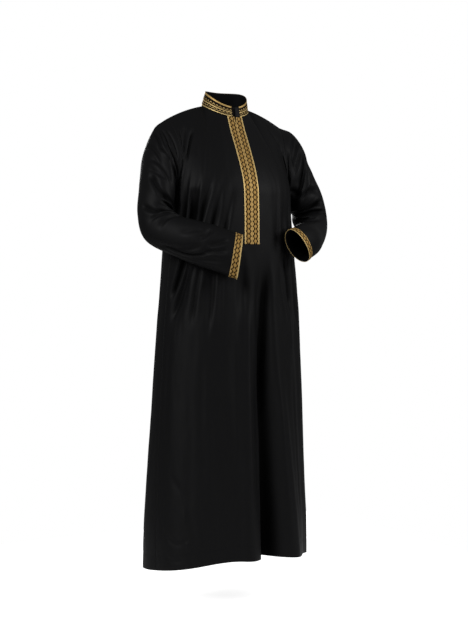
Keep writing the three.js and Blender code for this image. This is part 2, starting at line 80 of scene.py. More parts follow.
# %% [markdown]
# ## Reading a table smoothly
# A maker writes a pattern as measurements at a few heights. The values between two rows are read
# along a smooth curve, so the cloth has no corners where a row is. A row with named columns reads
# like a sentence.


# %% Tables with named columns
def table(columns, rows):
    """Rows of numbers with named columns."""
    row = namedtuple("row", columns)
    return [row(*values) for values in rows]


def mix(a, b, share):
    """From a at 0 to b at 1."""
    return a + (b - a) * share


def smooth(value):
    """A soft step: 0 below 0, 1 above 1, and level at both ends."""
    held = min(1.0, max(0.0, value))
    return held * held * (3 - 2 * held)


def read(rows, key, column, place):
    """The value of a column at a place between the rows."""
    keys = [getattr(row, key) for row in rows]
    rising = keys[-1] > keys[0]
    low = 0
    while low < len(rows) - 2 and (keys[low + 1] <= place if rising else keys[low + 1] >= place):
        low += 1
    values = [getattr(row, column) for row in rows]
    last = len(rows) - 1

    def slope(i):
        before, after = max(0, i - 1), min(last, i + 1)
        return (values[after] - values[before]) / (keys[after] - keys[before])

    span = keys[low + 1] - keys[low]
    s = min(1.0, max(0.0, (place - keys[low]) / span))
    bend = span * s * (1 - s) * (slope(low) * (1 - s) - slope(low + 1) * s)
    return mix(values[low], values[low + 1], smooth(s)) + bend


print("halfway along a soft step:", smooth(0.5))


# %% [markdown]
# ## The robe's measurements
# The body is a stack of rounded rings from the underarm to the hem. Each ring has its own reach
# to the right, left, front and back, and a number that says how square it is. Angles run round
# the body from the middle of the front towards the wearer's left.

# %% Body rings, seams and hem
CLOTH = 1.6  # thickness of the panels and sleeves
COLLAR_CLOTH = 2.0
UNDERARM_Z = -268
CENTRE_Y = -20  # axis of the body's rings
YOKE_LENGTH = 270  # cloth from the shoulder seam to the underarm
SKIRT_LENGTH = 1120  # and from there to the hem
BRAID_WIDTH = 26
PLACKET_END_Z = -425
SLIT_OPEN = 3.5  # half width of the small opening under the collar
SLIT_OPEN_DEPTH = 24  # how far down it closes
SHOULDER = Vector((208, 2, -39))  # outer end of the shoulder seam
SHOULDER_BOW = 6  # rise of that seam over a straight line
NECK_SIDE_ANGLE = 95  # where it meets the neckline, in degrees from the front

Loop = namedtuple("Loop", "half_x front back z_front z_side z_back")
NECK = Loop(76, -68, 57, -25, 10, 22)
COLLAR_TOP = Loop(69, -61, 35, 7, 50, 62)

RINGS = table("z right left front back square", [
    (-268, 206, 206, 148, 136, 2.5),
    (-350, 207, 208, 151, 134, 2.5),
    (-459, 216, 224, 152, 136, 2.35),
    (-587, 228, 242, 155, 144, 2.2),
    (-663, 236, 249, 158, 152, 2.15),
    (-785, 246, 255, 162, 162, 2.1),
    (-919, 256, 261, 170, 172, 2.05),
    (-1148, 274, 268, 189, 192, 2),
    (-1301, 285, 273, 203, 206, 2),
    (-1450, 289, 274, 213, 216, 2),
])
SIDE_SEAM = table("z angle", [(-268, 86), (-780, 82), (-1450, 75)])
HEM = table("t z", [
    (-180, -1436), (-90, -1422), (-50, -1404), (-20, -1386), (0, -1388),
    (40, -1402), (90, -1422), (135, -1432), (180, -1436),
])
print(f"the hem is {RINGS[-1].left + RINGS[-1].right} mm wide, at {HEM[4].z} to {HEM[0].z} mm")

# %% [markdown]
# ## The large folds
# Cloth that hangs from the shoulders falls in long folds. Each fold here runs from a top to an
# end, has a width in degrees, and a depth at its top, middle and end. A trough has a minus. The
# first one is the deep fold down the middle of the skirt, which gives the robe its step at the
# hem.

# %% Large folds
FOLDS = table("t_top z_top t_end z_end width width_end top mid end", [
    (9, -500, 13, -1460, 5, 9, -6, -50, -88),
    (-4, -540, -8, -1460, 5, 6, 2, 8, 14),
    (17, -600, 32, -1460, 5, 8, 0, 12, 12),
    (48, -520, 55, -1460, 8, 10, -6, -8, -12),
    (-6, -480, -7, -680, 3.5, 4, 0, -9, 0),
    (-56, -440, -74, -720, 8, 8, -12, -14, 0),
    (-34, -440, -40, -680, 7, 7, -10, -9, 0),
    (-53, -250, -56, -450, 7, 7, -3, -12, -8),
    (-26, -270, -28, -460, 6, 6, 0, -9, -4),
    (40, -270, 36, -450, 6, 6, 0, -7, 0),
    (-62, -700, -58, -1460, 12, 12, 0, 5, 9),
    (-30, -700, -30, -1460, 12, 13, 0, -3, -8),
    (80, -420, 84, -1460, 9, 9, -4, -7, -13),
    (112, -380, 108, -1460, 10, 11, 0, 9, 14),
    (138, -300, 132, -1460, 10, 12, 0, -16, -30),
    (164, -330, 158, -1460, 11, 12, 0, 7, 14),
    (186, -420, 186, -1460, 10, 12, 0, -13, -26),
    (214, -330, 214, -1460, 11, 12, 0, 6, 12),
    (238, -300, 243, -1460, 10, 11, 0, -15, -28),
])
FOLD_ENTRY = 0.12  # share of a fold over which it starts
FOLD_REACH = 3  # how far a fold is felt to each side, in widths


def nearest_turn(degrees):
    """The same direction, from -180 to 180."""
    return degrees - 360 * round(degrees / 360)


def fold_at(t, z):
    """How far the large folds move the cloth out at an angle and height."""
    total = 0.0
    for fold in FOLDS:
        along = (fold.z_top - z) / (fold.z_top - fold.z_end)
        if not 0 < along < 1:
            continue
        middle = mix(fold.t_top, fold.t_end, along)
        away = nearest_turn(t - middle) / mix(fold.width, fold.width_end, along)
        if abs(away) > FOLD_REACH:
            continue
        if along < 0.5:
            depth = mix(fold.top, fold.mid, smooth(along * 2))
        else:
            depth = mix(fold.mid, fold.end, smooth(along * 2 - 1))
        total += depth * smooth(along / FOLD_ENTRY) * math.exp(-away * away)
    return total


print("the middle fold is", round(-fold_at(12, -1300)), "mm deep above the hem")


# %% [markdown]
# ## From an angle and a height to a point
# A ring that is a little square is a superellipse: the sine and cosine are raised to a power
# below one. `read` is slow, so each height's ring is kept once it has been read.


# %% A point of the body
def power_of(value, power):
    """A power that keeps the sign."""
    return math.copysign(abs(value) ** power, value)


@lru_cache(maxsize=None)
def ring_sizes(z):
    """The reaches and squareness of the ring at a height."""
    return [read(RINGS, "z", column, z) for column in ("right", "left", "front", "back", "square")]


def ring_point(t, z, folded=True):
    """A point of the body at an angle from the front and a height."""
    right, left, front, back, square = ring_sizes(round(z, 1))
    sin, cos = math.sin(math.radians(t)), math.cos(math.radians(t))
    out = fold_at(t, z) if folded else 0.0
    x = power_of(sin, 2 / square) * (right if sin < 0 else left) + sin * out
    y = CENTRE_Y - power_of(cos, 2 / square) * (front if cos > 0 else back) - cos * out
    return Vector((x, y, z))


def angle_at(x, z):
    """The angle at which the front of a ring passes a distance from the middle."""
    right, left, _, _, square = ring_sizes(round(z, 1))
    share = (abs(x) / (right if x < 0 else left)) ** (square / 2)
    return math.copysign(math.degrees(math.asin(share)), x)


print("front of the chest:", [round(v) for v in ring_point(0, UNDERARM_Z)])


# %% [markdown]
# ## Neck loops and the yoke
# Above the underarm the cloth goes over the shoulders. Each line of the panel leaves the neckline
# or the shoulder seam in one direction and reaches the underarm ring in another, so it is a
# Hermite curve: two points and two directions. The directions come from a table, from the middle
# to the shoulder.


# %% Neck loops and yoke tables
def hermite(s):
    """A curve's weights at s: for its start, the way out of it, its end and the way in."""
    return 2 * s**3 - 3 * s**2 + 1, s**3 - 2 * s**2 + s, 3 * s**2 - 2 * s**3, s**3 - s**2


def loop_point(loop, angle):
    """A point of a loop round the neck, by its angle from the front."""
    cos, sin = math.cos(math.radians(angle)), math.sin(math.radians(angle))
    even = (loop.z_front + loop.z_back) / 2
    z = (even + loop.z_side) / 2 + (loop.z_front - loop.z_back) / 2 * cos
    z += (even - loop.z_side) / 2 * math.cos(math.radians(2 * angle))
    y = (loop.front + loop.back) / 2 - (loop.back - loop.front) / 2 * cos
    return Vector((loop.half_x * sin, y, z))


YOKE_COLUMNS = "at out ahead down ring_out ring_ahead ring_down"
FRONT_YOKE = table(YOKE_COLUMNS, [
    (0, 0, 65, 225, 0, 14, 235),
    (0.25, 12, 100, 205, 0, 12, 235),
    (0.5, 28, 170, 185, 0, 8, 235),
    (0.8, 0, 195, 165, 6, 0, 225),
    (1, -70, 260, 150, 60, -170, 60),
])
BACK_YOKE = table(YOKE_COLUMNS, [
    (0, 0, 100, 265, 0, 8, 285),
    (0.25, 10, 120, 245, 0, 6, 275),
    (0.5, 20, 165, 195, 0, 0, 250),
    (0.8, 0, 180, 160, 4, -10, 225),
    (1, -50, 230, 150, 40, -190, 80),
])


def top_point(share, side, is_front):
    """The panel's top edge: the neckline up to the side of the neck, then the shoulder seam."""
    if share <= 0.5:
        middle = 0 if is_front else 180
        return loop_point(NECK, side * mix(middle, NECK_SIDE_ANGLE, 2 * share))
    along = 2 * share - 1
    point = loop_point(NECK, NECK_SIDE_ANGLE).lerp(SHOULDER, along)
    point.z += SHOULDER_BOW * 4 * along * (1 - along)
    point.x *= side
    return point


print("top of the back:", [round(v) for v in top_point(0, 1, False)])


# %% [markdown]
# ## A panel's own coordinates
# Every point of a panel has two shares: one across, from the middle to the side seam, and one
# down. Down runs from 0 at the top edge to 1 at the underarm, and on to 2 at the hem. Near the
# middle of the front the lines run straight down, because the braid that is sewn there is cut
# straight.

# %% A point of a panel
STRAIGHT_SHARE = 0.1053  # the outer edge of the braid at the neckline
FAN_SHARE = 0.14  # from here on the lines fan out with the panel


@lru_cache(maxsize=None)
def seam_angle(z):
    """The side seam's angle at a height."""
    return read(SIDE_SEAM, "z", "angle", z)


def line_angle(share, side, is_front, z):
    """The angle round the body of a panel's line at a height."""
    seam = seam_angle(round(z, 1))
    if not is_front:
        return side * mix(180, seam, share)
    fan = share * seam
    if share >= FAN_SHARE:
        return side * fan
    x = NECK.half_x * math.sin(math.radians(min(share, STRAIGHT_SHARE) * 2 * NECK_SIDE_ANGLE))
    part = smooth((share - STRAIGHT_SHARE) / (FAN_SHARE - STRAIGHT_SHARE))
    return side * mix(abs(angle_at(side * x, z)), fan, part)


@lru_cache(maxsize=None)
def yoke_line(share, side, is_front):
    """The two points and two directions of a yoke line, and its angle at the underarm."""
    rows = FRONT_YOKE if is_front else BACK_YOKE
    ahead = -1 if is_front else 1
    out, forward, down, ring_out, ring_ahead, ring_down = (
        read(rows, "at", column, share) for column in YOKE_COLUMNS.split()[1:]
    )
    t = line_angle(share, side, is_front, UNDERARM_Z)
    leaving = Vector((side * out, ahead * forward, -down))
    reaching = Vector((side * ring_out, ahead * ring_ahead, -ring_down))
    return top_point(share, side, is_front), leaving, ring_point(t, UNDERARM_Z, False), reaching, t


def panel_point(share, side, is_front, down):
    """A point of a panel and its angle for the folds. Down is 0 at the top, 2 at the hem."""
    if down < 1:
        top, leaving, ring, reaching, t = yoke_line(share, side, is_front)
        start, out_of, end, into = hermite(down)
        point = top * start + leaving * out_of
        point += ring * end + reaching * into
        out = fold_at(t, point.z)
        point += Vector((math.sin(math.radians(t)), -math.cos(math.radians(t)), 0)) * out
        return point, t
    z = mix(UNDERARM_Z, read(HEM, "t", "z", 0), down - 1)
    t = nearest_turn(line_angle(share, side, is_front, z))
    z = mix(UNDERARM_Z, read(HEM, "t", "z", t), down - 1)
    t = line_angle(share, side, is_front, z)
    return ring_point(t, z), t


point, _ = panel_point(0.5, 1, True, 1.5)
print("a point of the skirt:", [round(v) for v in point])

# %% [markdown]
# ## Small creases, placed one by one
# Between the large folds lie finer ones: drag lines that run to where the cloth is held, and
# short soft breaks where an arm presses it. A real crease is never even. It fades in and out,
# bends a little, and has a low ridge along one side of its trough. Each row is one crease in
# millimetres on the flat cloth, and `relief_at` adds up those near a point.


# %% Creases on flat cloth
def crease_table(rows):
    """Creases from (x0, y0) to (x1, y1) with a bow to one side, a half width and a depth."""
    return table("x0 y0 x1 y1 bow wide depth", rows)


RIDGE_SHARE = 0.2  # height of the ridge beside a trough, of the trough's depth
RIDGE_AWAY = -1.7  # its distance, in the trough's half widths
RIDGE_WIDE = 0.9  # its own half width, in the same measure
CREASE_REACH = 4  # how far a crease is felt to each side, in half widths
STEEP = 0.3  # how much narrower the trough is towards its ridge, and wider on the other side
FADE = 0.3  # share of its length over which a crease fades at each end


def relief_at(creases, x, y, around=0.0, fade_in=FADE):
    """The sum of the creases at a place; around is the length after which the cloth closes."""
    total = 0.0
    for c in creases:
        across, down = c.x1 - c.x0, c.y1 - c.y0
        length = math.hypot(across, down)
        px, py = x - c.x0, y - c.y0
        if around:
            middle = px - across / 2
            px -= around * round(middle / around)
        along = (px * across + py * down) / length**2
        if not 0 < along < 1:
            continue
        away = (px * down - py * across) / length - c.bow * 4 * along * (1 - along)
        away /= c.wide
        if abs(away) > CREASE_REACH:
            continue
        lean = away / (1 - STEEP if away < 0 else 1 + STEEP)
        profile = math.exp(-lean * lean)
        profile -= RIDGE_SHARE * math.exp(-(((away - RIDGE_AWAY) / RIDGE_WIDE) ** 2))
        total += c.depth * profile * smooth(along / fade_in) * smooth((1 - along) / FADE)
    return total


test = crease_table([(0, 0, 0, 100, 0, 10, -5)])
print("across a test crease:", [round(relief_at(test, x, 50), 1) for x in range(-30, 31, 10)])


# %% [markdown]
# ## The body's creases
# The x of these rows is the angle round the body times a fixed length for a degree, and y is the
# height. The front's creases gather where the forearms press the cloth to the waist, and fan out
# above and below it. The back has drag lines between the shoulder blades, and folds over the
# small of the back.

# %% The creases of the fan
DEGREE = 4.3  # millimetres of cloth for a degree round the body


def on_body(rows):
    """Creases written as angle and height at both ends."""
    return crease_table([
        (t0 * DEGREE, z0, t1 * DEGREE, z1, bow, wide, depth)
        for t0, z0, t1, z1, bow, wide, depth in rows
    ])


# These deepen all the way down to the forearm that presses the cloth in.
FAN_CREASES = on_body([
    (-59, -190, -73, -480, 5, 14, -23.0),
    (-53, -180, -59, -400, 3, 9, -4.1),
    (-43.5, -190, -65, -490, 5, 14, -21.6),
    (-37, -190, -52, -440, 3, 9, -3.4),
    (-27.5, -190, -59, -475, 4, 13, -20.2),
    (-19.5, -205, -38, -480, 3, 12, -14.9),
    (-8.5, -205, -26, -480, 3, 10, -9.5),
    (24.5, -215, 22, -470, -3, 13, -5.4),
    (35, -235, 37, -480, 4, 13, -8.1),
    (47, -220, 46, -470, -4, 10, -8.1),
    (58, -250, 57, -480, 3, 10, -9.5),
])
print(len(FAN_CREASES), "creases in the fan above the forearms")

# %% Other creases of the front and back
BODY_CREASES = on_body([
    # right chest, drag lines towards the armpit
    (-57, -60, -65, -176, 5, 8, -7.5),
    (-68, -50, -73, -162, -3, 8, -4.5),
    (-79, -60, -78, -150, 2, 6, -5.0),
    (-49, -85, -52, -165, 4, 9, -2.0),
    (-76, -150, -75, -340, 3, 9, -8.0),
    # left chest
    (60, -35, 74, -125, -4, 9, -2.6),
    (76, -110, 70, -340, 4, 9, -8.0),
    (12, -175, 8, -340, -3, 10, -1.4),
    # below the right forearm
    (-84, -430, -83, -620, 4, 6, -8.0),
    (-61, -430, -78, -600, -6, 10, -14.0),
    (-57, -480, -75, -670, -6, 10, -6.5),
    (-50, -440, -60, -610, 5, 7, -3.0),
    (-41, -440, -51, -690, 5, 11, -6.0),
    (-31, -440, -36, -720, -4, 10, -5.5),
    (-22, -460, -24, -700, 4, 8, -2.5),
    (-6, -440, -8, -800, 3, 12, -4.5),
    (-81, -600, -89, -730, 5, 9, 3.5),
    # below the left forearm
    (4, -470, 4.5, -760, 2, 7, -4.0),
    (11.5, -430, 12, -990, 2, 17, -13.0),
    (15, -820, 17, -1450, 0, 15, -4.0),
    (2.5, -700, 0, -1330, -3, 8, -5.0),
    (-2.5, -560, -6, -1380, 3, 9, 3.0),
    (24, -470, 34, -700, 4, 8, -3.5),
    (31, -440, 38, -640, -5, 9, -9.0),
    (44, -450, 58, -700, 6, 9, -4.0),
    (60, -460, 70, -700, -4, 8, -4.0),
    (38, -640, 41, -760, 3, 8, 2.5),
    # crest of the ridge on the left of the middle fold
    (20, -760, 28, -1400, 3, 7, 4.0),
    # long soft falls of the skirt
    (-72, -640, -68, -1120, 8, 12, -2.2),
    (-52, -760, -48, -1290, -8, 14, -1.6),
    (-38, -700, -37, -1240, 7, 13, -1.4),
    (-22, -820, -21, -1380, -6, 12, -1.4),
    (-12, -620, -14, -1200, 5, 9, -1.6),
    (40, -760, 46, -1360, 6, 12, -2.4),
    (62, -780, 66, -1300, -6, 12, -2.2),
    # the lower right corner, bent where a step has moved it
    (-64, -1120, -52, -1250, -16, 9, -2.6),
    (-58, -1150, -50, -1290, -8, 7, 2.4),
    (-66, -1290, -46, -1310, 26, 8, -3.4),
    (-60, -1325, -45, -1345, -14, 6, 2.6),
    (-66, -1365, -50, -1372, 10, 6, -2.4),
    (-47, -1150, -42, -1330, 10, 9, -2.0),
    # back: drag lines from the shoulders
    (118, -60, 134, -190, 6, 9, -3.4),
    (128, -50, 146, -170, -5, 8, -2.4),
    (242, -60, 226, -200, -6, 9, -3.4),
    (231, -50, 213, -160, 5, 8, -2.6),
    (104, -180, 112, -360, 5, 9, -4.0),
    (256, -180, 249, -350, -5, 9, -4.2),
    (165, -90, 198, -110, 10, 12, -1.8),
    # back: over the waist
    (122, -330, 134, -520, 6, 9, -3.4),
    (142, -360, 150, -600, -6, 10, -3.0),
    (158, -340, 162, -560, 5, 9, -2.4),
    (178, -350, 174, -640, -5, 10, -3.0),
    (198, -340, 204, -580, 5, 9, -2.8),
    (224, -360, 217, -600, -6, 9, -3.2),
    (240, -340, 232, -520, 6, 8, -3.4),
    (96, -440, 100, -700, -5, 8, -3.6),
    (262, -450, 258, -720, 5, 8, -3.4),
    # back: the skirt
    (120, -620, 118, -1240, 8, 12, -2.6),
    (148, -700, 146, -1330, -8, 13, -2.6),
    (172, -660, 173, -1280, 7, 12, -2.2),
    (198, -720, 200, -1360, -7, 12, -2.8),
    (226, -640, 229, -1240, 8, 12, -2.6),
    (252, -760, 254, -1320, -6, 12, -2.4),
    (150, -1240, 176, -1330, 24, 13, -2.4),
])
print(len(BODY_CREASES), "other creases of the body")

# %% [markdown]
# ## What keeps a crease away
# Cloth lies still where something stiffens it. Creases fade under the braid, at the neckline and
# at every seam, so that neighbouring pieces meet on one line. A seam itself sinks a little,
# because its allowances are pressed flat inside. The finest unevenness is noise that is stretched
# down the cloth, as its fall is.

# %% Relief of the body
SEAM_DIP = 0.5  # depth of a seam
SEAM_DIP_WIDTH = 3.0
SEAM_CALM = 26.0  # creases die out this near a seam
FAN_FADE = 0.8  # share of a fan crease over which it deepens
BRAID_CALM = 12
WAVER = 1.1  # height of the finest unevenness
# its sizes: millimetres across and down, share of that height, and a place in the noise for each
WAVES = table("across down share seed", [(34, 150, 1, 3.7), (15, 60, 0.5, 8.1)])


def waver(x, y):
    """Soft unevenness, longer down the cloth than across it."""
    return sum(
        WAVER * wave.share * noise.noise(Vector((x / wave.across, y / wave.down, wave.seed)))
        for wave in WAVES
    )


def body_relief(t, point, seam_distance, top_distance, is_front):
    """How far a point of a panel moves along its normal."""
    x = nearest_turn(t - 180) + 180 if not is_front else t
    creases = relief_at(BODY_CREASES, x * DEGREE, point.z) + waver(x * DEGREE, point.z)
    creases += relief_at(FAN_CREASES, x * DEGREE, point.z, fade_in=FAN_FADE)
    calm = smooth(seam_distance / SEAM_CALM) * smooth(top_distance / SEAM_CALM)
    if is_front and point.z > PLACKET_END_Z - BRAID_CALM:
        calm *= smooth((abs(point.x) - BRAID_WIDTH) / BRAID_CALM)
    dip = SEAM_DIP * math.exp(-((min(seam_distance, top_distance) / SEAM_DIP_WIDTH) ** 2))
    return creases * calm - dip


print("unevenness at three places:", [round(waver(x, 0), 2) for x in (0, 40, 80)])


# %% [markdown]
# ## One way to make every cloth piece
# All the cloth starts as a flat grid from `create_grid`, which brings its own UV map. Each vertex
# is then moved to its place on the robe, as a tailor lays a flat pattern over a form. The relief
# follows the vertex normals, so it has to come after the first move. Solidify gives the cloth its
# thickness inwards.


# %% Grid to cloth
CREASE_OPEN, CREASE_DEEP = 1.5, 11  # painted shade starts in a crease this deep, and is full this much deeper
FOLD_OPEN, FOLD_DEEP = 8, 50  # the same for the broad folds


def painted_shade_of(relief, fold=0.0):
    """Painted shade, 0 on open cloth to 1 at the bottom of a deep crease or of a broad fold."""
    crease = smooth((-relief - CREASE_OPEN) / CREASE_DEEP)
    return min(1.0, crease + smooth((-fold - FOLD_OPEN) / FOLD_DEEP))


def ready_grid(across, down):
    """A flat grid and the two shares of each vertex, from 0 to 1."""
    bm = bmesh.new()
    bmesh.ops.create_grid(bm, x_segments=across, y_segments=down, size=0.5, calc_uvs=True)
    return bm, [(v.co.x + 0.5, v.co.y + 0.5) for v in bm.verts]


def to_metres(bm):
    """From the pattern's millimetres to Blender's metres."""
    bmesh.ops.scale(bm, vec=(MM, MM, MM), verts=bm.verts)


def make_piece(name, bm, material):
    """An object at the origin, with smooth faces."""
    for face in bm.faces:
        face.smooth = True
    mesh = bpy.data.meshes.new(name)
    bm.to_mesh(mesh)
    bm.free()
    mesh.materials.append(material)
    piece = bpy.data.objects.new(name, mesh)
    bpy.context.scene.collection.objects.link(piece)
    return piece


def finish_cloth(name, bm, thickness, material):
    """A piece of cloth, with its wall inside the modelled surface."""
    piece = make_piece(name, bm, material)
    wall = piece.modifiers.new("wall", "SOLIDIFY")
    wall.thickness = thickness * MM
    wall.offset = -1
    area = sum(face.area for face in piece.data.polygons)
    print(f"{name}: {len(piece.data.vertices)} vertices, {area:.3f} square metres of cloth")
    return piece


def stand_for(piece, node):
    """The piece rides on the body and hides its CAD node."""
    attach(piece, "root")
    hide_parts(node)


print("how dark creases of 2, 6 and 12 mm get:", [round(painted_shade_of(-d), 2) for d in (2, 6, 12)])


# %% [markdown]
# ## Black cloth
# The robe is a smooth polyester with a soft lustre. It is close to black, so its shape shows only
# in reflections: a fairly rough gloss and a very fine twill. Hardly any light reaches the bottom
# of a deep crease, so shade is painted into the colour there, and the gloss is made duller, with
# an attribute of the relief. The twill follows the UV map of each piece, so each piece gets a
# material with its own number of lines. A few helpers come first, because a shader tree takes
# many lines when each input is set on its own.

# %% Shader nodes in few words
WAVE_LENGTH = 2 * math.pi / 10  # a diagonal wave texture repeats after this length


def fill(tree, node, inputs):
    """Sets inputs of a node; a value that is another node's output is linked to it."""
    for name, value in inputs.items():
        if isinstance(value, bpy.types.NodeSocket):
            tree.links.new(value, node.inputs[name])
        else:
            node.inputs[name].default_value = value


def add_node(tree, kind, inputs, **settings):
    """A new node of a kind, with its settings and its inputs."""
    node = tree.nodes.new("ShaderNode" + kind)
    for name, value in settings.items():
        setattr(node, name, value)
    fill(tree, node, inputs)
    return node


def blend_colours(tree, share, first, second):
    """The colour between two others; a Mix node's colours are inputs 6 and 7 and output 2."""
    return add_node(tree, "Mix", {0: share, 6: first, 7: second}, data_type="RGBA").outputs[2]


def ranged(tree, share, low, high):
    """A value that runs from low to high as share runs from 0 to 1."""
    return add_node(tree, "MapRange", {"Value": share, "To Min": low, "To Max": high}).outputs[0]


def calculate(tree, operation, *values):
    """The result of a Math node, kept between 0 and 1."""
    inputs = dict(enumerate(values))
    return add_node(tree, "Math", inputs, operation=operation, use_clamp=True).outputs["Value"]


def read_attribute(tree, name):
    """A number that is kept on the mesh."""
    return add_node(tree, "Attribute", {}, attribute_name=name).outputs["Fac"]


def clouds(tree, scale, detail):
    """Soft noise in the piece's own space."""
    place = add_node(tree, "TexCoord", {}).outputs["Object"]
    inputs = {"Vector": place, "Scale": scale, "Detail": detail}
    return add_node(tree, "TexNoise", inputs).outputs["Fac"]


def diagonal_lines(tree, width, length, pitch, uneven):
    """Fine lines on the UV map of a piece whose width and length are in millimetres."""
    per_mm = WAVE_LENGTH / pitch
    uv = add_node(tree, "TexCoord", {}).outputs["UV"]
    place = add_node(tree, "Mapping", {"Vector": uv, "Scale": (width * per_mm, length * per_mm, 1)})
    inputs = {"Vector": place.outputs["Vector"], "Scale": 1.0, "Distortion": uneven}
    lines = add_node(tree, "TexWave", inputs, wave_type="BANDS", bands_direction="DIAGONAL")
    return lines.outputs["Fac"]


def bumped(tree, height, strength, millimetres):
    """The surface's direction with small heights on it."""
    inputs = {"Height": height, "Strength": strength, "Distance": millimetres * MM}
    return add_node(tree, "Bump", inputs).outputs["Normal"]


def start_material(name):
    """A material with its tree and its Principled shader."""
    material = bpy.data.materials.new(name)
    material.use_nodes = True
    tree = material.node_tree
    return material, tree, tree.nodes["Principled BSDF"]


print(f"waves in a unit of length: {1 / WAVE_LENGTH:.2f}")

# %% The cloth's material
BLACK = (0.0052, 0.0052, 0.0056, 1)
LOW_THREAD = 0.6  # share of that colour between two lines of the twill
TWILL_PITCH = 2.0735  # millimetres across the piece from one line to the next
TWILL_UNEVEN = 1.5
TWILL_HEIGHT = 0.2
TWILL_STRENGTH = 0.25
CLOTH_CLOUDS = (14, 4)  # scale and detail of the changes in its gloss
CLOTH_ROUGHNESS = (0.48, 0.6)
CLOTH_IOR = 1.19  # low, because soft threads reflect less than a hard surface
DEEPEST_SHADE_SHARE = 0.05  # painted shade: share of its colour that the cloth keeps at the bottom of a deep crease


def black_cloth(name, width, length):
    """Twill for a piece of a width and a length in millimetres."""
    material, tree, shader = start_material(name)
    twill = diagonal_lines(tree, width, length, TWILL_PITCH, TWILL_UNEVEN)
    low_black = tuple(LOW_THREAD * v for v in BLACK[:3]) + (1,)
    tone = blend_colours(tree, twill, BLACK, low_black)
    # painted shade: the colour is darkened towards the bottom of deep creases and folds, where
    # shade falls; the same amount also makes the cloth rougher
    painted_crease_shade = read_attribute(tree, "painted_crease_shade")
    light = ranged(tree, painted_crease_shade, 1.0, DEEPEST_SHADE_SHARE)
    shaded_tone = add_node(tree, "VectorMath", {0: tone, "Scale": light}, operation="SCALE")
    gloss = ranged(tree, clouds(tree, *CLOTH_CLOUDS), *CLOTH_ROUGHNESS)
    dull = add_node(tree, "Mix", {0: painted_crease_shade, "A": gloss, "B": 1.0}, data_type="FLOAT")
    fill(tree, shader, {
        "Base Color": shaded_tone.outputs["Vector"],
        "Roughness": dull.outputs["Result"],
        "IOR": CLOTH_IOR,
        "Normal": bumped(tree, twill, TWILL_STRENGTH, TWILL_HEIGHT),
    })
    print(f"{name}: {len(tree.nodes)} nodes")
    return material


# %% [markdown]
# ## The front and back panels
# The front is one piece of cloth with a slit down its middle. The slit is cut after the grid is
# in place: `split_edges` gives both sides their own vertices, and a small opening is left under
# the collar. The panel is wide at the hem and narrow at the neck.

# %% The grid of a panel
PANEL_COLUMNS = 140
PANEL_ROWS = 250
YOKE_PART = 0.2  # share of the rows above the underarm
HALF_WIDTH = 240  # of a panel at its top, for the distance to the side seam
WIDENING = 0.6  # share by which it grows down to the hem
ROBE_LENGTH = 1400
HEM_HEIGHT = 43  # the hem's allowance is folded up this far inside
HEM_DIP = 0.7  # depth of the line along its edge
HEM_DIP_WIDTH = 2.6


def down_of(share):
    """Rows of the grid, from the hem at 0 to the top at 1, as a panel's down."""
    from_top = 1 - share
    if from_top < YOKE_PART:
        return from_top / YOKE_PART
    return 1 + (from_top - YOKE_PART) / (1 - YOKE_PART)


def make_panel(is_front):
    """The grid of a panel, in millimetres, with its relief."""
    bm, shares = ready_grid(PANEL_COLUMNS, PANEL_ROWS)
    reliefs = []
    for vert, (u, v) in zip(bm.verts, shares):
        across = 2 * u - 1 if is_front else 1 - 2 * u
        share = round(abs(across), 6)
        down = down_of(v)
        point, t = panel_point(share, -1 if across < 0 else 1, is_front, down)
        vert.co = point
        to_seam = (1 - share) * HALF_WIDTH * (1 + WIDENING * max(0.0, -point.z / ROBE_LENGTH))
        relief = body_relief(t, point, to_seam, down * YOKE_LENGTH, is_front)
        above_hem = (2 - down) * SKIRT_LENGTH
        hem = HEM_DIP * math.exp(-(((above_hem - HEM_HEIGHT) / HEM_DIP_WIDTH) ** 2))
        reliefs.append((relief - hem, painted_shade_of(relief, fold_at(t, point.z))))
    bm.normal_update()
    # painted shade for the creases and broad folds, kept on each vertex for the material
    painted_crease_shade = bm.verts.layers.float.new("painted_crease_shade")
    for vert, (relief, dark) in zip(bm.verts, reliefs):
        vert.co += vert.normal * relief
        vert[painted_crease_shade] = dark
    return bm


print(f"{PANEL_ROWS} rows, {PANEL_ROWS * YOKE_PART:.0f} of them above the underarm")

# %% The slit
SLIT_GAP = 0.12  # each side of the slit keeps this far from the middle
ON_MIDDLE = 0.05  # a vertex this near the middle is on the slit's line


def slit_half(depth):
    """Half the width of the slit at a depth below the neckline."""
    return SLIT_GAP + SLIT_OPEN * max(0.0, 1 - depth / SLIT_OPEN_DEPTH)


def on_slit(vert, end_z):
    return abs(vert.co.x) < ON_MIDDLE and vert.co.z > end_z and vert.co.y < CENTRE_Y


def open_slit(bm):
    """Cuts the front from the neck to the end of the placket."""
    middle = [e for e in bm.edges if all(on_slit(v, PLACKET_END_Z) for v in e.verts)]
    top = max(v.co.z for e in middle for v in e.verts)
    bmesh.ops.split_edges(bm, edges=middle)
    for vert in bm.verts:
        if on_slit(vert, PLACKET_END_Z + 1):
            side = 1 if vert.link_faces[0].calc_center_median().x > 0 else -1
            vert.co.x += side * slit_half(top - vert.co.z)
    print(f"the slit is cut along {len(middle)} edges")


# %% Front and back
def finish_panel(node, bm, width, length):
    """The panel that stands for a node, from its grid in millimetres."""
    to_metres(bm)
    panel = finish_cloth(f"{node}_panel", bm, CLOTH, black_cloth(f"{node}_twill", width, length))
    stand_for(panel, node)
    return panel


front_grid = make_panel(True)
open_slit(front_grid)
front = finish_panel("front", front_grid, 720, 1440)

back = finish_panel("back", make_panel(False), 840, 1480)

# %% [markdown]
# ## The sleeves
# A sleeve is a tube between two lines: an outer line over the shoulder and elbow, and an inner
# line from the underarm through the elbow's pit. Near the armhole the sections ease into the
# armhole's own shape, so that sleeve and body meet on one seam. The lines are smooth curves
# through a few points. Centripetal spacing is used because it never loops where two points lie
# close together.


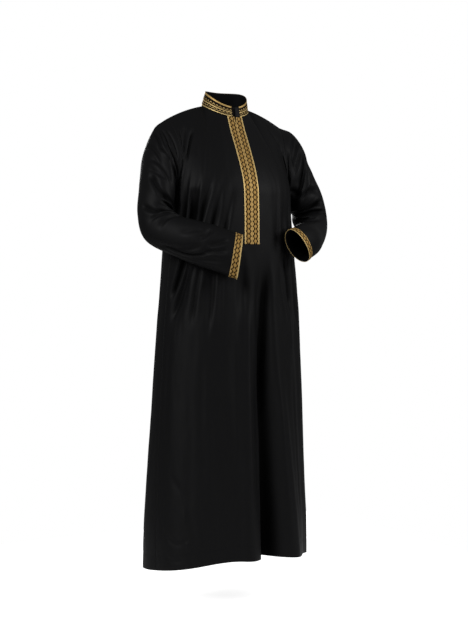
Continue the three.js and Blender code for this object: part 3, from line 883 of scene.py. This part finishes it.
# %% A smooth line through points
class SmoothLine:
    """A centripetal Catmull-Rom curve, read by a share of its points."""

    def __init__(self, points):
        self.points = [Vector(p) for p in points]

    def at(self, share):
        """The point at a share, 0 at the first point and 1 at the last."""
        points = self.points
        last = len(points) - 1
        place = share * last
        i = min(last - 1, int(place))
        s = place - i
        p1, p2 = points[i], points[i + 1]
        p0 = points[i - 1] if i > 0 else p1 * 2 - p2
        p3 = points[i + 2] if i + 2 <= last else p2 * 2 - p1
        d0, d1, d2 = (math.sqrt((b - a).length) for a, b in ((p0, p1), (p1, p2), (p2, p3)))
        leaving = ((p1 - p0) / d0 - (p2 - p0) / (d0 + d1) + (p2 - p1) / d1) * d1
        reaching = ((p2 - p1) / d1 - (p3 - p1) / (d1 + d2) + (p3 - p2) / d2) * d1
        start, out_of, end, into = hermite(s)
        return p1 * start + leaving * out_of + p2 * end + reaching * into


bow = SmoothLine([(0, 0, 0), (10, 5, 0), (20, 0, 0)])
print("a quarter along a bow:", [round(v, 1) for v in bow.at(0.25)])


# %% Sleeve sections
SECTION = "outer inner front back"
SLEEVE_RIGHT = table(SECTION, [
    ((-208, 2, -39), (-206, -38, -268), 74, 70),
    ((-247, -4, -66), (-219, -36, -272), 66, 66),
    ((-271, -14, -112), (-220, -40, -290), 68, 66),
    ((-294, -26, -174), (-219, -50, -312), 66, 66),
    ((-312, -32, -250), (-217, -66, -332), 62, 64),
    ((-324, -36, -334), (-214, -92, -340), 56, 56),
    ((-310, -60, -414), (-203, -128, -348), 50, 38),
    ((-230, -130, -470), (-177, -162, -358), 44, 32),
    ((-160, -178, -502), (-128, -188, -374), 40, 32),
    ((-81, -219, -532), (-63, -222, -401), 37, 32),
])
SLEEVE_LEFT = table(SECTION, [
    ((208, 2, -39), (206, -38, -268), 74, 70),
    ((259, -2, -58), (221, -36, -272), 66, 66),
    ((273, -4, -112), (228, -38, -292), 66, 64),
    ((302, -6, -172), (232, -40, -312), 66, 64),
    ((338, -4, -240), (244, -48, -322), 60, 60),
    ((367, 2, -326), (246, -66, -340), 54, 54),
    ((352, -24, -396), (240, -96, -352), 48, 44),
    ((290, -92, -440), (220, -128, -352), 42, 38),
    ((232, -152, -462), (175, -163, -362), 45, 34),
    ((180, -205, -476), (117, -199, -381), 24, 32),
])
CUFF_START = 0.967  # share of the sleeve where its braid begins
ARMHOLE_EASE = 0.3  # share over which the armhole's shape fades
EASE_POWER = 1.5
print("sections of a sleeve:", len(SLEEVE_RIGHT))

# %% [markdown]
# ## Folds of the sleeves
# Both arms are bent, so the cloth gathers in the elbow's pit and radiates from it. These broad
# creases are the same ones that the frame has: a place along the sleeve, a slant, and a place
# round it, where 0 is the outer line, 90 the front and 180 the inner line.

# %% Broad creases of the sleeves
ELBOW_CREASES = table("along slant round width spread depth", [
    (0.5, -0.05, 150, 0.03, 55, -13),
    (0.57, 0.02, 165, 0.028, 50, -9),
    (0.43, -0.09, 130, 0.026, 45, -8),
    (0.64, 0.06, 140, 0.03, 45, -6),
    (0.16, -0.1, 110, 0.04, 35, -7),
    (0.3, 0.08, 70, 0.04, 40, -4),
    (0.3, -0.08, 260, 0.04, 45, -6),
    (0.48, 0.05, 230, 0.035, 45, -7),
])
CREASE_FADE = 0.1  # share of a sleeve at each end over which these fade


def elbow_crease_at(along, around):
    """How far the broad creases move the cloth out at a place of a sleeve."""
    total = 0.0
    for crease in ELBOW_CREASES:
        aside = nearest_turn(around - crease.round)
        near = (along - crease.along - crease.slant * aside / 90) / crease.width
        total += crease.depth * math.exp(-near * near - (aside / crease.spread) ** 2)
    return total * smooth(along / CREASE_FADE) * smooth((1 - along) / CREASE_FADE)


print("in the elbow's pit:", round(elbow_crease_at(0.5, 150), 1), "mm")


# %% A point of a sleeve
NEARBY = 0.01  # a small step along a sleeve, for its direction


class Sleeve:
    """The surface of one sleeve; side is -1 for the wearer's right and 1 for the left."""

    def __init__(self, side, sections):
        self.side = side
        self.outer = SmoothLine([row.outer for row in sections])
        self.inner = SmoothLine([row.inner for row in sections])
        last = len(sections) - 1
        reaches = [(i / last, row.front, row.back) for i, row in enumerate(sections)]
        self.reach = table("at front back", reaches)
        self.frames = {}
        self.armhole = {}

    def middle(self, along):
        """The point halfway between the outer and the inner line."""
        held = min(1.0, max(0.0, along))
        return (self.outer.at(held) + self.inner.at(held)) / 2

    def frame(self, along):
        """The middle, the way to the outer line, the way to the front and the two reaches."""
        if along not in self.frames:
            half = (self.outer.at(along) - self.inner.at(along)) / 2
            tangent = self.middle(along + NEARBY) - self.middle(along - NEARBY)
            ahead = tangent.cross(half).normalized() * self.side
            front, back = (read(self.reach, "at", side, along) for side in ("front", "back"))
            self.frames[along] = self.middle(along), half, ahead, front, back
        return self.frames[along]

    def section_point(self, along, around):
        """A point of the sleeve's own section, without creases."""
        middle, half, ahead, front, back = self.frame(along)
        cos, sin = math.cos(math.radians(around)), math.sin(math.radians(around))
        return middle + half * cos + ahead * sin * (front if sin > 0 else back)

    def armhole_shift(self, around):
        """From the sleeve's first section to the armhole, which it is sewn to."""
        if around not in self.armhole:
            is_front = around <= 180
            down = around / 180 if is_front else (360 - around) / 180
            edge, _ = panel_point(1, self.side, is_front, down)
            self.armhole[around] = edge - self.section_point(0, around)
        return self.armhole[around]

    def point(self, along, around):
        """A point by its share along the sleeve and its degrees round it."""
        point = self.section_point(along, around)
        out = (point - self.frame(along)[0]).normalized()
        ease = (1 - smooth(along / ARMHOLE_EASE)) ** EASE_POWER
        return point + self.armhole_shift(around) * ease + out * elbow_crease_at(along, around)


sleeves = {"right": Sleeve(-1, SLEEVE_RIGHT), "left": Sleeve(1, SLEEVE_LEFT)}
print("right elbow:", [round(v) for v in sleeves["right"].point(0.55, 0)])

# %% [markdown]
# ## Fine creases of the sleeves
# The x of these rows is a length round the sleeve and the y a length along it. They are listed by
# place: drag lines from the shoulder to the armpit, short breaks at the elbow, and long curved
# folds down the forearm. The two arms are bent differently, so each has its own list.

# %% Fine creases of the right sleeve
AROUND_DEGREE = 1.15  # millimetres of cloth for a degree round the sleeve
SLEEVE_LENGTH = 640


def on_sleeve(rows):
    """Creases written as share along and degrees round, at both ends."""
    return crease_table([
        (
            r0 * AROUND_DEGREE, a0 * SLEEVE_LENGTH, r1 * AROUND_DEGREE, a1 * SLEEVE_LENGTH,
            bow, wide, depth,
        )
        for a0, r0, a1, r1, bow, wide, depth in rows
    ])


RIGHT_CREASES = on_sleeve([
    # drag lines from the shoulder to the armpit
    (0.14, -6, 0.25, 50, 4, 7, -6.0),
    (0.25, 35, 0.19, 108, 8, 7, -6.5),
    (0.21, 85, 0.02, 145, 0, 7, -5.5),
    (0.09, -2, 0.20, 62, 4, 6, -4.5),
    (0.09, 10, 0.13, 80, 4, 7, -6.5),
    (0.14, 55, 0.03, 135, 6, 8, -10.0),
    (0.065, 14, 0.04, 98, 3, 6, -6.0),
    # across the upper arm
    (0.25, -12, 0.315, 66, 6, 7, -5.0),
    (0.33, 14, 0.33, 108, 5, 8, -6.0),
    (0.375, 18, 0.35, 90, -5, 7, -4.5),
    # round the elbow
    (0.38, 30, 0.47, 100, -6, 10, -8.0),
    (0.46, 75, 0.46, 180, 4, 10, -10.0),
    (0.50, 88, 0.505, 195, 4, 8, -14.0),
    (0.53, 34, 0.60, 105, -6, 7, -8.0),
    (0.59, 78, 0.56, 190, 5, 8, -14.0),
    (0.635, 56, 0.605, 165, 8, 6, -6.5),
    (0.685, 70, 0.635, 165, 8, 6, -5.5),
    # down the forearm
    (0.70, 28, 0.85, 90, -8, 9, -5.0),
    (0.74, 92, 0.83, 130, 5, 9, -3.0),
    (0.82, 94, 0.865, 145, -5, 6, -6.0),
    (0.855, 82, 0.95, 128, -4, 6, -6.5),
    (0.70, 30, 0.90, 84, -16, 6, -8.0),
    (0.74, 30, 0.96, 66, -6, 9, -4.5),
    (0.84, 70, 0.96, 96, -5, 6, -5.0),
    # on the sides that face away
    (0.66, 0, 0.58, -80, 6, 8, -4.0),
    (0.52, -10, 0.50, -110, -6, 8, -5.0),
    (0.44, -30, 0.40, -140, 7, 8, -4.5),
    (0.14, -20, 0.06, -110, -6, 7, -4.5),
    (0.24, -40, 0.16, -140, 6, 8, -4.0),
    (0.74, -40, 0.94, -70, 8, 8, -3.0),
])
print(len(RIGHT_CREASES), "creases on the right sleeve")

# %% Fine creases of the left sleeve
LEFT_CREASES = on_sleeve([
    # drag lines at the armhole
    (0.085, 14, 0.055, 92, 3, 7, -5.0),
    (0.125, 26, 0.06, 104, 5, 6, -7.5),
    (0.14, 46, 0.085, 112, 3, 6, -5.5),
    (0.03, 50, 0.045, 150, 0, 7, -9.0),
    (0.145, 40, 0.17, 168, -4, 10, -9.0),
    (0.05, 150, 0.24, 138, 0, 8, -7.0),
    # round the elbow
    (0.22, 142, 0.44, 74, -8, 9, -8.0),
    (0.40, 192, 0.475, 66, 6, 8, -15.0),
    (0.435, 180, 0.50, 88, 5, 6, -6.0),
    (0.47, 205, 0.55, 64, -6, 7, -12.0),
    (0.54, 112, 0.60, 55, -4, 6, -5.0),
    (0.53, 200, 0.605, 122, 0, 7, -8.0),
    (0.66, 150, 0.80, 172, 5, 8, -3.0),
    (0.72, 70, 0.90, 90, 9, 10, -1.6),
    # on the sides that face away
    (0.66, -10, 0.58, -90, 6, 8, -4.0),
    (0.53, -10, 0.50, -120, -7, 8, -5.0),
    (0.44, -20, 0.41, -130, 6, 8, -4.5),
    (0.15, -20, 0.06, -105, -6, 7, -4.5),
    (0.25, -40, 0.18, -130, 6, 8, -4.0),
    (0.76, -50, 0.93, -60, 8, 8, -3.0),
])
print(len(LEFT_CREASES), "creases on the left sleeve")

# %% Relief of a sleeve
WAVE_AROUND = 1.6  # radius of the ring of noise that is read round a sleeve
WAVE_ALONG = 60  # millimetres along it for a unit of the noise


def sleeve_relief(creases, along, around):
    """The fine creases of a sleeve, calm at the armhole and the cuff."""
    x, y = around * AROUND_DEGREE, along * SLEEVE_LENGTH
    calm = smooth(y / SEAM_CALM) * smooth((CUFF_START - along) * SLEEVE_LENGTH / SEAM_CALM)
    ring = Vector((math.cos(math.radians(around)), math.sin(math.radians(around)), 0)) * WAVE_AROUND
    wave = WAVER * noise.noise(ring + Vector((0, 0, y / WAVE_ALONG)))
    dip = SEAM_DIP * math.exp(-((y / SEAM_DIP_WIDTH) ** 2))
    return (relief_at(creases, x, y, 360 * AROUND_DEGREE) + wave) * calm - dip


print("at the right elbow's pit:", round(sleeve_relief(RIGHT_CREASES, 0.5, 140), 1), "mm")


# %% [markdown]
# ## Making the sleeves
# The grid is rolled up: its first and last columns meet on the outer line, and `remove_doubles`
# joins them. The two arms turn opposite ways, so the way round is turned for one of them to keep
# its faces outwards.

# %% Sleeves
SLEEVE_COLUMNS = 96
SLEEVE_ROWS = 140
SAME_PLACE = 0.01  # vertices this near each other are joined


def make_sleeve(name, creases):
    """The closed grid of a sleeve, in metres, with its relief."""
    sleeve = sleeves[name]
    bm, shares = ready_grid(SLEEVE_COLUMNS, SLEEVE_ROWS)
    # painted shade for the creases, kept on each vertex for the material
    painted_crease_shade = bm.verts.layers.float.new("painted_crease_shade")
    place_of = {}
    for vert, (u, v) in zip(bm.verts, shares):
        around = 360 * (u if sleeve.side > 0 else 1 - u)
        vert.co = sleeve.point(round(v, 6), round(around % 360, 4))
        place_of[vert] = v, around
    bmesh.ops.remove_doubles(bm, verts=bm.verts, dist=SAME_PLACE)
    bm.normal_update()
    for vert in bm.verts:
        relief = sleeve_relief(creases, *place_of[vert])
        vert.co += vert.normal * relief
        vert[painted_crease_shade] = painted_shade_of(relief)
    to_metres(bm)
    return bm


cloth = black_cloth("sleeve_twill", 420, 640)
for name, creases in (("right", RIGHT_CREASES), ("left", LEFT_CREASES)):
    grid = make_sleeve(name, creases)
    piece = finish_cloth(f"sleeve_{name}_cloth", grid, CLOTH, cloth)
    stand_for(piece, f"sleeve_{name}")

# %% [markdown]
# ## The collar
# The collar is a stiff band that stands on the neckline and leans in a little. Both of its edges
# are loops round the neck, and its two ends part over the slit.

# %% Collar band
COLLAR_COLUMNS = 180
COLLAR_ROWS = 14
PARTING = 14  # the collar's ends part over this width on each side of the middle


def collar_point(up, turn_share):
    """A point of the collar: up from the neckline, and round from the slit back to the slit."""
    angle = 360 * turn_share
    point = loop_point(NECK, angle).lerp(loop_point(COLLAR_TOP, angle), up)
    point.x += SLIT_OPEN * max(0.0, 1 - abs(point.x) / PARTING) * (1 if turn_share < 0.5 else -1)
    return point


collar_grid, collar_shares = ready_grid(COLLAR_COLUMNS, COLLAR_ROWS)
for vert, (u, v) in zip(collar_grid.verts, collar_shares):
    vert.co = collar_point(v, u) * MM
collar_twill = black_cloth("collar_twill", 430, 41)
collar = finish_cloth("collar_band", collar_grid, COLLAR_CLOTH, collar_twill)
stand_for(collar, "collar")

# %% [markdown]
# ## Gold braid
# The braid is a flat ribbon, woven black with gold threads over it. Its ornament is a plain
# geometric repeat. Here it is charted with a few rules in millimetres across and along the
# ribbon. A strip has two thick dark zigzags on gold and a pale line along its outer edge. The
# collar has the reverse: gold zigzags on a dark ground, between straight gold lines. The chart
# gives both the colour and the height, so the gold stands up from the ground as thread does.


# %% Lines and zigzags
FLAT_TURNS = 1.7  # the more this is over 1, the longer a chunky wave dwells at its turns


def zigzag(along, pitch):
    """A triangle wave between -1 and 1."""
    share = along / pitch - math.floor(along / pitch)
    return 4 * abs(share - 0.5) - 1


def chunky(along, pitch):
    """A triangle wave whose turns are cut flat, so that a thick line dwells at each turn."""
    return max(-1.0, min(1.0, FLAT_TURNS * zigzag(along, pitch)))


def band(distance, half_width, soft):
    """1 inside a line of a half width, falling softly to 0 at its edges."""
    return smooth((half_width + soft - abs(distance)) / (2 * soft))


print("a chunky wave:", [round(chunky(i, 8), 1) for i in range(9)])

# %% The chart of a strip
PITCH = 15  # length of the repeat
INNER_GOLD, FIELD_GOLD = 1.15, 0.95  # at the inner edge and in the field
INNER_LINE, INNER_FADE = 2, 5  # where the first ends, and how far it takes to become the second
DARK_ZIGZAGS = table("middle shift", [(6.6, 0), (17.2, 0.5)])  # from the inner edge, and in repeats
SWING = 2.2
DARK_HALF, DARK_SOFT = 2.35, 0.45  # half the width of a dark zigzag, and of its soft edge
SLANT_DARK = 0.8  # how dark its slanting parts are, where 1 is the ground
EDGE_LINE = 22.9  # a pale line runs from here to the outer edge
EDGE_PALE = 1.5
EDGE_SHADOW = 0.2  # gold of the thin dark line beside it
SHADOW_HALF, SHADOW_SOFT = 0.35, 0.3


def strip_chart(across, along):
    """Gold of a strip: 0 ground, 1 gold thread, more for pale. Across runs from its inner edge."""
    if across > EDGE_LINE:
        return EDGE_PALE
    gold = mix(INNER_GOLD, FIELD_GOLD, smooth((across - INNER_LINE) / INNER_FADE))
    for row in DARK_ZIGZAGS:
        wave = chunky(along + row.shift * PITCH, PITCH)
        dark = band(across - row.middle - SWING * wave, DARK_HALF, DARK_SOFT)
        gold = mix(gold, 0.0, dark * mix(SLANT_DARK, 1.0, abs(wave)))
    return mix(gold, EDGE_SHADOW, band(across - EDGE_LINE, SHADOW_HALF, SHADOW_SOFT))


print("gold across a strip:", [round(strip_chart(a, 2.0), 1) for a in range(0, BRAID_WIDTH + 1, 2)])

# %% The chart of the collar
COLLAR_HEIGHT = 41
COLLAR_PITCH = 11.5
COLLAR_END, END_FADE = 5.5, 0.8  # the gold stops this far from the braid's end at the slit
PALE = 1.7  # gold of the zigzags
LINE_SOFT, ZIGZAG_SOFT = 0.35, 0.3
THIN, THICK = 0.6, 1.5  # width of a zigzag at its lower and its upper turns, as a share of its own
# lower edge, upper edge and paleness of the collar's straight lines, from the bottom up
COLLAR_LINES = table("low high gold", [(0, 3.2, 1.7), (15.4, 18.4, 1.6), (34.6, 41, 1.2)])
# middle, swing and half width of the collar's gold zigzags, which are thicker at their upper turns
COLLAR_ZIGZAGS = table("middle swing half", [(9.2, 2.6, 1.0), (23.8, 3.0, 1.0)])


def collar_chart(up, along, length):
    """Gold of the collar's braid. Up runs from its lower edge to its top."""
    gold = 0.0
    for line in COLLAR_LINES:
        middle = (line.low + line.high) / 2
        gold = max(gold, line.gold * band(up - middle, (line.high - line.low) / 2, LINE_SOFT))
    for row in COLLAR_ZIGZAGS:
        wave = zigzag(along, COLLAR_PITCH)
        half = row.half * mix(THIN, THICK, max(0.0, wave))
        gold = max(gold, PALE * band(up - row.middle - row.swing * wave, half, ZIGZAG_SOFT))
    return gold * smooth((length - along - COLLAR_END) / END_FADE)


upwards = range(0, COLLAR_HEIGHT, 4)
print("gold up the collar:", [round(collar_chart(up, 0, 400), 1) for up in upwards])

# %% [markdown]
# ## Thread colours for the braid
# The chart is kept on the mesh as an attribute named `gold`, and the material reads it. Gold
# thread is a thin metal foil round a core: bright, a bit rough, and ribbed across by its twist.
# The ground between the threads is a brown close to black. The ribs are a fine wave on the UV
# map.

# %% The braid's material
GOLD = (0.35, 0.176, 0.028, 1)
GOLD_PALE = (0.88, 0.69, 0.32, 1)
GROUND = (0.004, 0.002, 0.0008, 1)
RIB_PITCH = 2.262  # millimetres across the braid from one rib to the next
RIB_UNEVEN = 2.0
RIB_HEIGHT = 0.3
RIB_STRENGTH = 0.5
SPOTS = (420, 2)  # scale and detail of the single bright threads
SPOT_SHARE = 0.35
METAL = 0.4  # the foil is thin, and worn between the threads
GROUND_ROUGHNESS, GOLD_ROUGHNESS = 0.7, 0.56
BRAID_IOR = 1.18


def gold_braid(name, width, length):
    """Braid of a width and a length in millimetres; the UV's x runs along its width."""
    material, tree, shader = start_material(name)
    chart = read_attribute(tree, "gold")
    ribs = diagonal_lines(tree, width, length, RIB_PITCH, RIB_UNEVEN)
    over_one = calculate(tree, "SUBTRACT", chart, 1.0)
    pale = calculate(tree, "MULTIPLY_ADD", clouds(tree, *SPOTS), SPOT_SHARE, over_one)
    thread = blend_colours(tree, pale, GOLD, GOLD_PALE)
    fill(tree, shader, {
        "Base Color": blend_colours(tree, chart, GROUND, thread),
        "Metallic": calculate(tree, "MULTIPLY", chart, METAL),
        "Roughness": ranged(tree, chart, GROUND_ROUGHNESS, GOLD_ROUGHNESS),
        "IOR": BRAID_IOR,
        "Normal": bumped(tree, ribs, RIB_STRENGTH, RIB_HEIGHT),
    })
    print(f"{name}: {len(tree.nodes)} nodes")
    return material


# %% [markdown]
# ## Laying braid on the cloth
# Braid is sewn flat on its panel, so it is made from the panel's own points, moved out along the
# surface. The surface's direction at a point comes from two short steps, one across and one
# along. Even rows matter here, or the repeat would stretch: `even_steps` walks along a line and
# marks off equal lengths.

# %% Helpers for laid braid
LIFT = 0.35  # the braid's underside clears the cloth
BRAID = 0.75  # thickness of its ground
GOLD_HEIGHT = 0.4  # gold thread over the ground
HIGHEST_GOLD = 1.2  # paler thread than this stands no higher
STEP = 0.004  # a short step on a surface, for its direction
WALK = 400  # steps in which a line is measured


def even_steps(line, start, end, count):
    """Places from start to end that are equal lengths of a line apart, and its whole length."""
    places = [mix(start, end, i / WALK) for i in range(WALK + 1)]
    lengths = [0.0]
    for a, b in zip(places, places[1:]):
        lengths.append(lengths[-1] + (line(b) - line(a)).length)
    marks = []
    for i in range(count + 1):
        wanted = lengths[-1] * i / count
        k = min(WALK - 1, bisect.bisect_right(lengths, wanted) - 1)
        part = (wanted - lengths[k]) / (lengths[k + 1] - lengths[k])
        marks.append(mix(places[k], places[k + 1], part))
    return marks, lengths[-1]


def outward(surface, u, v):
    """A point of a surface and its direction outwards."""
    point = surface(u, v)
    across = surface(u + STEP, v) - surface(u - STEP, v)
    along = surface(u, v + STEP) - surface(u, v - STEP)
    return point, across.cross(along).normalized()


def lay_braid(node, surface, us, vs, chart, material, closed=False):
    """A ribbon on a surface: columns at us, rows at vs, and gold from chart by their shares."""
    bm, shares = ready_grid(len(us) - 1, len(vs) - 1)
    gold = bm.verts.layers.float.new("gold")
    last_u, last_v = len(us) - 1, len(vs) - 1
    for vert, (x, y) in zip(bm.verts, shares):
        i, j = round(x * last_u), round(y * last_v)
        point, out = outward(surface, us[i], vs[j])
        share = chart(i / last_u, j / last_v)
        vert[gold] = share
        vert.co = (point + out * (LIFT + BRAID + GOLD_HEIGHT * min(share, HIGHEST_GOLD))) * MM
    if closed:
        bmesh.ops.remove_doubles(bm, verts=bm.verts, dist=SAME_PLACE * MM)
    piece = finish_cloth(f"{node}_ribbon", bm, BRAID, material)
    stand_for(piece, node)
    return piece


marks, _ = even_steps(partial(sleeves["right"].point, around=0), 0.0, 1.0, 4)
print("quarters of the right sleeve:", [round(mark, 2) for mark in marks])


# %% [markdown]
# ## The placket's two strips
# Two strips run down the slit, edge to edge, from the neckline to the placket's end.

# %% Placket strips
PLACKET_END_DOWN = 1 + (UNDERARM_Z - PLACKET_END_Z) / SKIRT_LENGTH
STRIP_COLUMNS = 44
STRIP_ROWS = 500
STRIP_GAP = 0.25  # each strip keeps this far from the middle


def straight_share(x):
    """The share across the front of a line that keeps its distance from the middle."""
    return math.degrees(math.asin(abs(x) / NECK.half_x)) / NECK_SIDE_ANGLE / 2


def lay_placket(name, side):
    """One strip; side is -1 for the wearer's right and 1 for the left."""
    middle = BRAID_WIDTH / 2

    def surface(x, up):
        point, _ = panel_point(straight_share(x), side, True, -up)
        parting = slit_half(NECK.z_front - point.z) * max(0.0, 1 - abs(x) / middle)
        point.x += side * parting
        return point

    edges = sorted((side * STRIP_GAP, side * BRAID_WIDTH))
    us = [mix(*edges, i / STRIP_COLUMNS) for i in range(STRIP_COLUMNS + 1)]
    vs, length = even_steps(partial(surface, side * middle), -PLACKET_END_DOWN, -STEP, STRIP_ROWS)
    print(f"{name}: {length:.0f} mm long")
    piece = lay_braid(
        name, surface, us, vs,
        lambda x, y: strip_chart((x if side > 0 else 1 - x) * BRAID_WIDTH, (1 - y) * length),
        gold_braid(f"{name}_thread", BRAID_WIDTH, length),
    )


lay_placket("placket_braid_left", 1)
lay_placket("placket_braid_right", -1)

# %% [markdown]
# ## Braid round the cuffs and the collar
# A cuff's braid goes all round the sleeve's end, so its repeat has to come out even: the pitch is
# stretched a little until a whole number of repeats fits. The collar's braid leaves a short plain
# stretch at the wearer's left end, where the closing flap goes under.

# %% Cuff braid
CUFF_COLUMNS = 34
CUFF_ROWS = 380
BRAID_START = CUFF_START + 0.001
BRAID_MIDDLE = 0.98  # its length is measured on this line


def lay_cuff(name):
    """The braid round one sleeve's end."""
    sleeve = sleeves[name]

    def surface(along, around):
        degrees = 360 * (-around if sleeve.side > 0 else around)
        return sleeve.point(along, degrees % 360)

    us = [mix(BRAID_START, 1.0, i / CUFF_COLUMNS) for i in range(CUFF_COLUMNS + 1)]
    vs, length = even_steps(partial(surface, BRAID_MIDDLE), 0.0, 1.0, CUFF_ROWS)
    repeats = round(length / PITCH)
    print(f"cuff {name}: {length:.0f} mm round, {repeats} repeats")
    node = f"cuff_braid_{name}"
    piece = lay_braid(
        node, surface, us, vs,
        lambda x, y: strip_chart(x * BRAID_WIDTH, y * repeats * PITCH),
        gold_braid(f"{node}_thread", BRAID_WIDTH, length), closed=True,
    )


lay_cuff("left")
lay_cuff("right")

# %% Collar braid
RIBBON_COLUMNS = 56
RIBBON_ROWS = 500
PLAIN_END = 18  # the stretch without braid, under the flap
RIBBON_END = 0.9995  # share of the way round where the braid stops


def lay_collar():
    """The braid round the collar."""
    def surface(drop, turn_share):
        return collar_point(1 - drop, turn_share)

    line = partial(surface, 0.5)
    whole = even_steps(line, 0.0, 1.0, 1)[1]
    us = [i / RIBBON_COLUMNS for i in range(RIBBON_COLUMNS + 1)]
    vs, length = even_steps(line, PLAIN_END / whole, RIBBON_END, RIBBON_ROWS)
    print(f"collar braid {length:.0f} mm of {whole:.0f}")
    piece = lay_braid(
        "collar_braid", surface, us, vs,
        lambda x, y: collar_chart((1 - x) * COLLAR_HEIGHT, y * length, length),
        gold_braid("collar_braid_thread", COLLAR_HEIGHT, length),
    )


lay_collar()

# %% [markdown]
# ## Sewing
# The hem is held by one row of stitches, two fingers above its edge. Each stitch is a tiny
# stretched ball of thread. Only a few faces are used for one, because there are hundreds.

# %% Stitches
STITCH_LENGTH = 2.6
STITCH_PITCH = 3.6
STITCH_THICK = 0.55
STITCH_LIFT = 0.3
LONGEST_STITCH = 3 * STITCH_LENGTH  # a stitch that a deep fold would pull longer is left out
ROW_SHARE = 0.985  # the row stops this near to the side seams


def add_stitch(bm, start, end):
    """One stitch from start to end, in millimetres."""
    along = end - start
    turned = along.to_track_quat("X", "Z").to_matrix().to_4x4()
    size = Matrix.Diagonal((along.length, STITCH_THICK, STITCH_THICK, 1))
    place = Matrix.Translation((start + end) / 2) @ turned @ size
    bmesh.ops.create_icosphere(bm, subdivisions=1, radius=0.5, matrix=place)


def stitch_hem(name, is_front, half_width, material):
    """The row of stitches along the hem of a panel."""
    def surface(across, up):
        return panel_point(abs(across), -1 if across < 0 else 1, is_front, -up)[0]

    way = 1 if is_front else -1
    up = HEM_HEIGHT / SKIRT_LENGTH - 2
    bm = bmesh.new()
    places = int(2 * half_width / STITCH_PITCH)
    made = 0
    for i in range(places):
        start = mix(-ROW_SHARE, ROW_SHARE, i / places)
        end = start + 2 * ROW_SHARE / places * STITCH_LENGTH / STITCH_PITCH
        points = [outward(surface, way * across, up) for across in (start, end)]
        first, last = (point + out * STITCH_LIFT for point, out in points)
        if (last - first).length < LONGEST_STITCH:
            add_stitch(bm, first, last)
            made += 1
    to_metres(bm)
    piece = make_piece(name, bm, material)
    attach(piece, "root")
    print(f"{name}: {made} stitches")


black_thread = black_cloth("black_thread", 5, 5)
stitch_hem("hem_stitching_front", True, 390, black_thread)
stitch_hem("hem_stitching_back", False, 470, black_thread)

# %% [markdown]
# ## Floor and light
# A pale floor and a white room are the background. A black robe would turn grey in so much white,
# so both are bright only to look at, and give the cloth a small share of that light. Its shape
# comes from two large lamps, one on each side in front. The stronger one stands on the wearer's
# right, so a fold has a bright and a dark flank. A third lamp lights the back.

# %% Floor
FLOOR_Z = -1.545
FLOOR_HALF = 1.1
FLOOR_COLOUR = (0.86, 0.86, 0.86, 1)
FLOOR_ROUGHNESS = 0.8
FLOOR_REFLECTION = 0.1
FLOOR_GLOW = 0.8
FLOOR_LIGHT = 0.15  # what its glow gives the cloth
WHITE = (1, 1, 1, 1)

floor_paint, tree, shader = start_material("pale_floor")
looked_at = add_node(tree, "LightPath", {}).outputs["Is Camera Ray"]
fill(tree, shader, {
    "Base Color": FLOOR_COLOUR,
    "Roughness": FLOOR_ROUGHNESS,
    "Specular IOR Level": FLOOR_REFLECTION,
    "Emission Color": WHITE,
    "Emission Strength": ranged(tree, looked_at, FLOOR_LIGHT, FLOOR_GLOW),
})
floor_grid = bmesh.new()
bmesh.ops.create_grid(floor_grid, x_segments=1, y_segments=1, size=FLOOR_HALF)
bmesh.ops.translate(floor_grid, vec=(0, 0, FLOOR_Z), verts=floor_grid.verts)
floor = make_piece("floor", floor_grid, floor_paint)
print(f"the floor is {2 * FLOOR_HALF} m wide")

# %% The white room
ROOM_LIGHT = 0.2  # the walls are white to look at, but give only this much light

world = bpy.data.worlds.new("room")
world.use_nodes = True
room = world.node_tree
backdrop = room.nodes["Background"]
fill(room, backdrop, {"Color": WHITE})
dim_room = add_node(room, "Background", {"Strength": ROOM_LIGHT})
looked_at = add_node(room, "LightPath", {}).outputs["Is Camera Ray"]
either = add_node(room, "MixShader", {0: looked_at, 1: dim_room.outputs[0], 2: backdrop.outputs[0]})
fill(room, room.nodes["World Output"], {"Surface": either.outputs[0]})
bpy.context.scene.world = world
bpy.context.scene.view_settings.view_transform = "Standard"
print(f"the room gives {ROOM_LIGHT:.0%} of the light that it shows")

# %% Lamps
LAMPS = table("name place aim size watts", [
    ("left", (-3.6, -2.2, 1.3), (0, 0, -0.3), 1.6, 105),
    ("right", (2.6, -3.2, 1.1), (0.1, 0, -0.2), 1.6, 75),
    ("behind", (0.9, 3.6, 1.2), (0, 0, -0.6), 1.8, 80),
])

for lamp in LAMPS:
    light = bpy.data.lights.new(lamp.name, "AREA")
    light.size = lamp.size
    light.energy = lamp.watts
    holder = bpy.data.objects.new(lamp.name, light)
    holder.location = lamp.place
    aim = Vector(lamp.aim) - Vector(lamp.place)
    holder.rotation_euler = aim.to_track_quat("-Z", "Y").to_euler()
    holder.visible_camera = False
    bpy.context.scene.collection.objects.link(holder)
    print(f"lamp {lamp.name}: {lamp.watts} watts, {lamp.size} m wide")
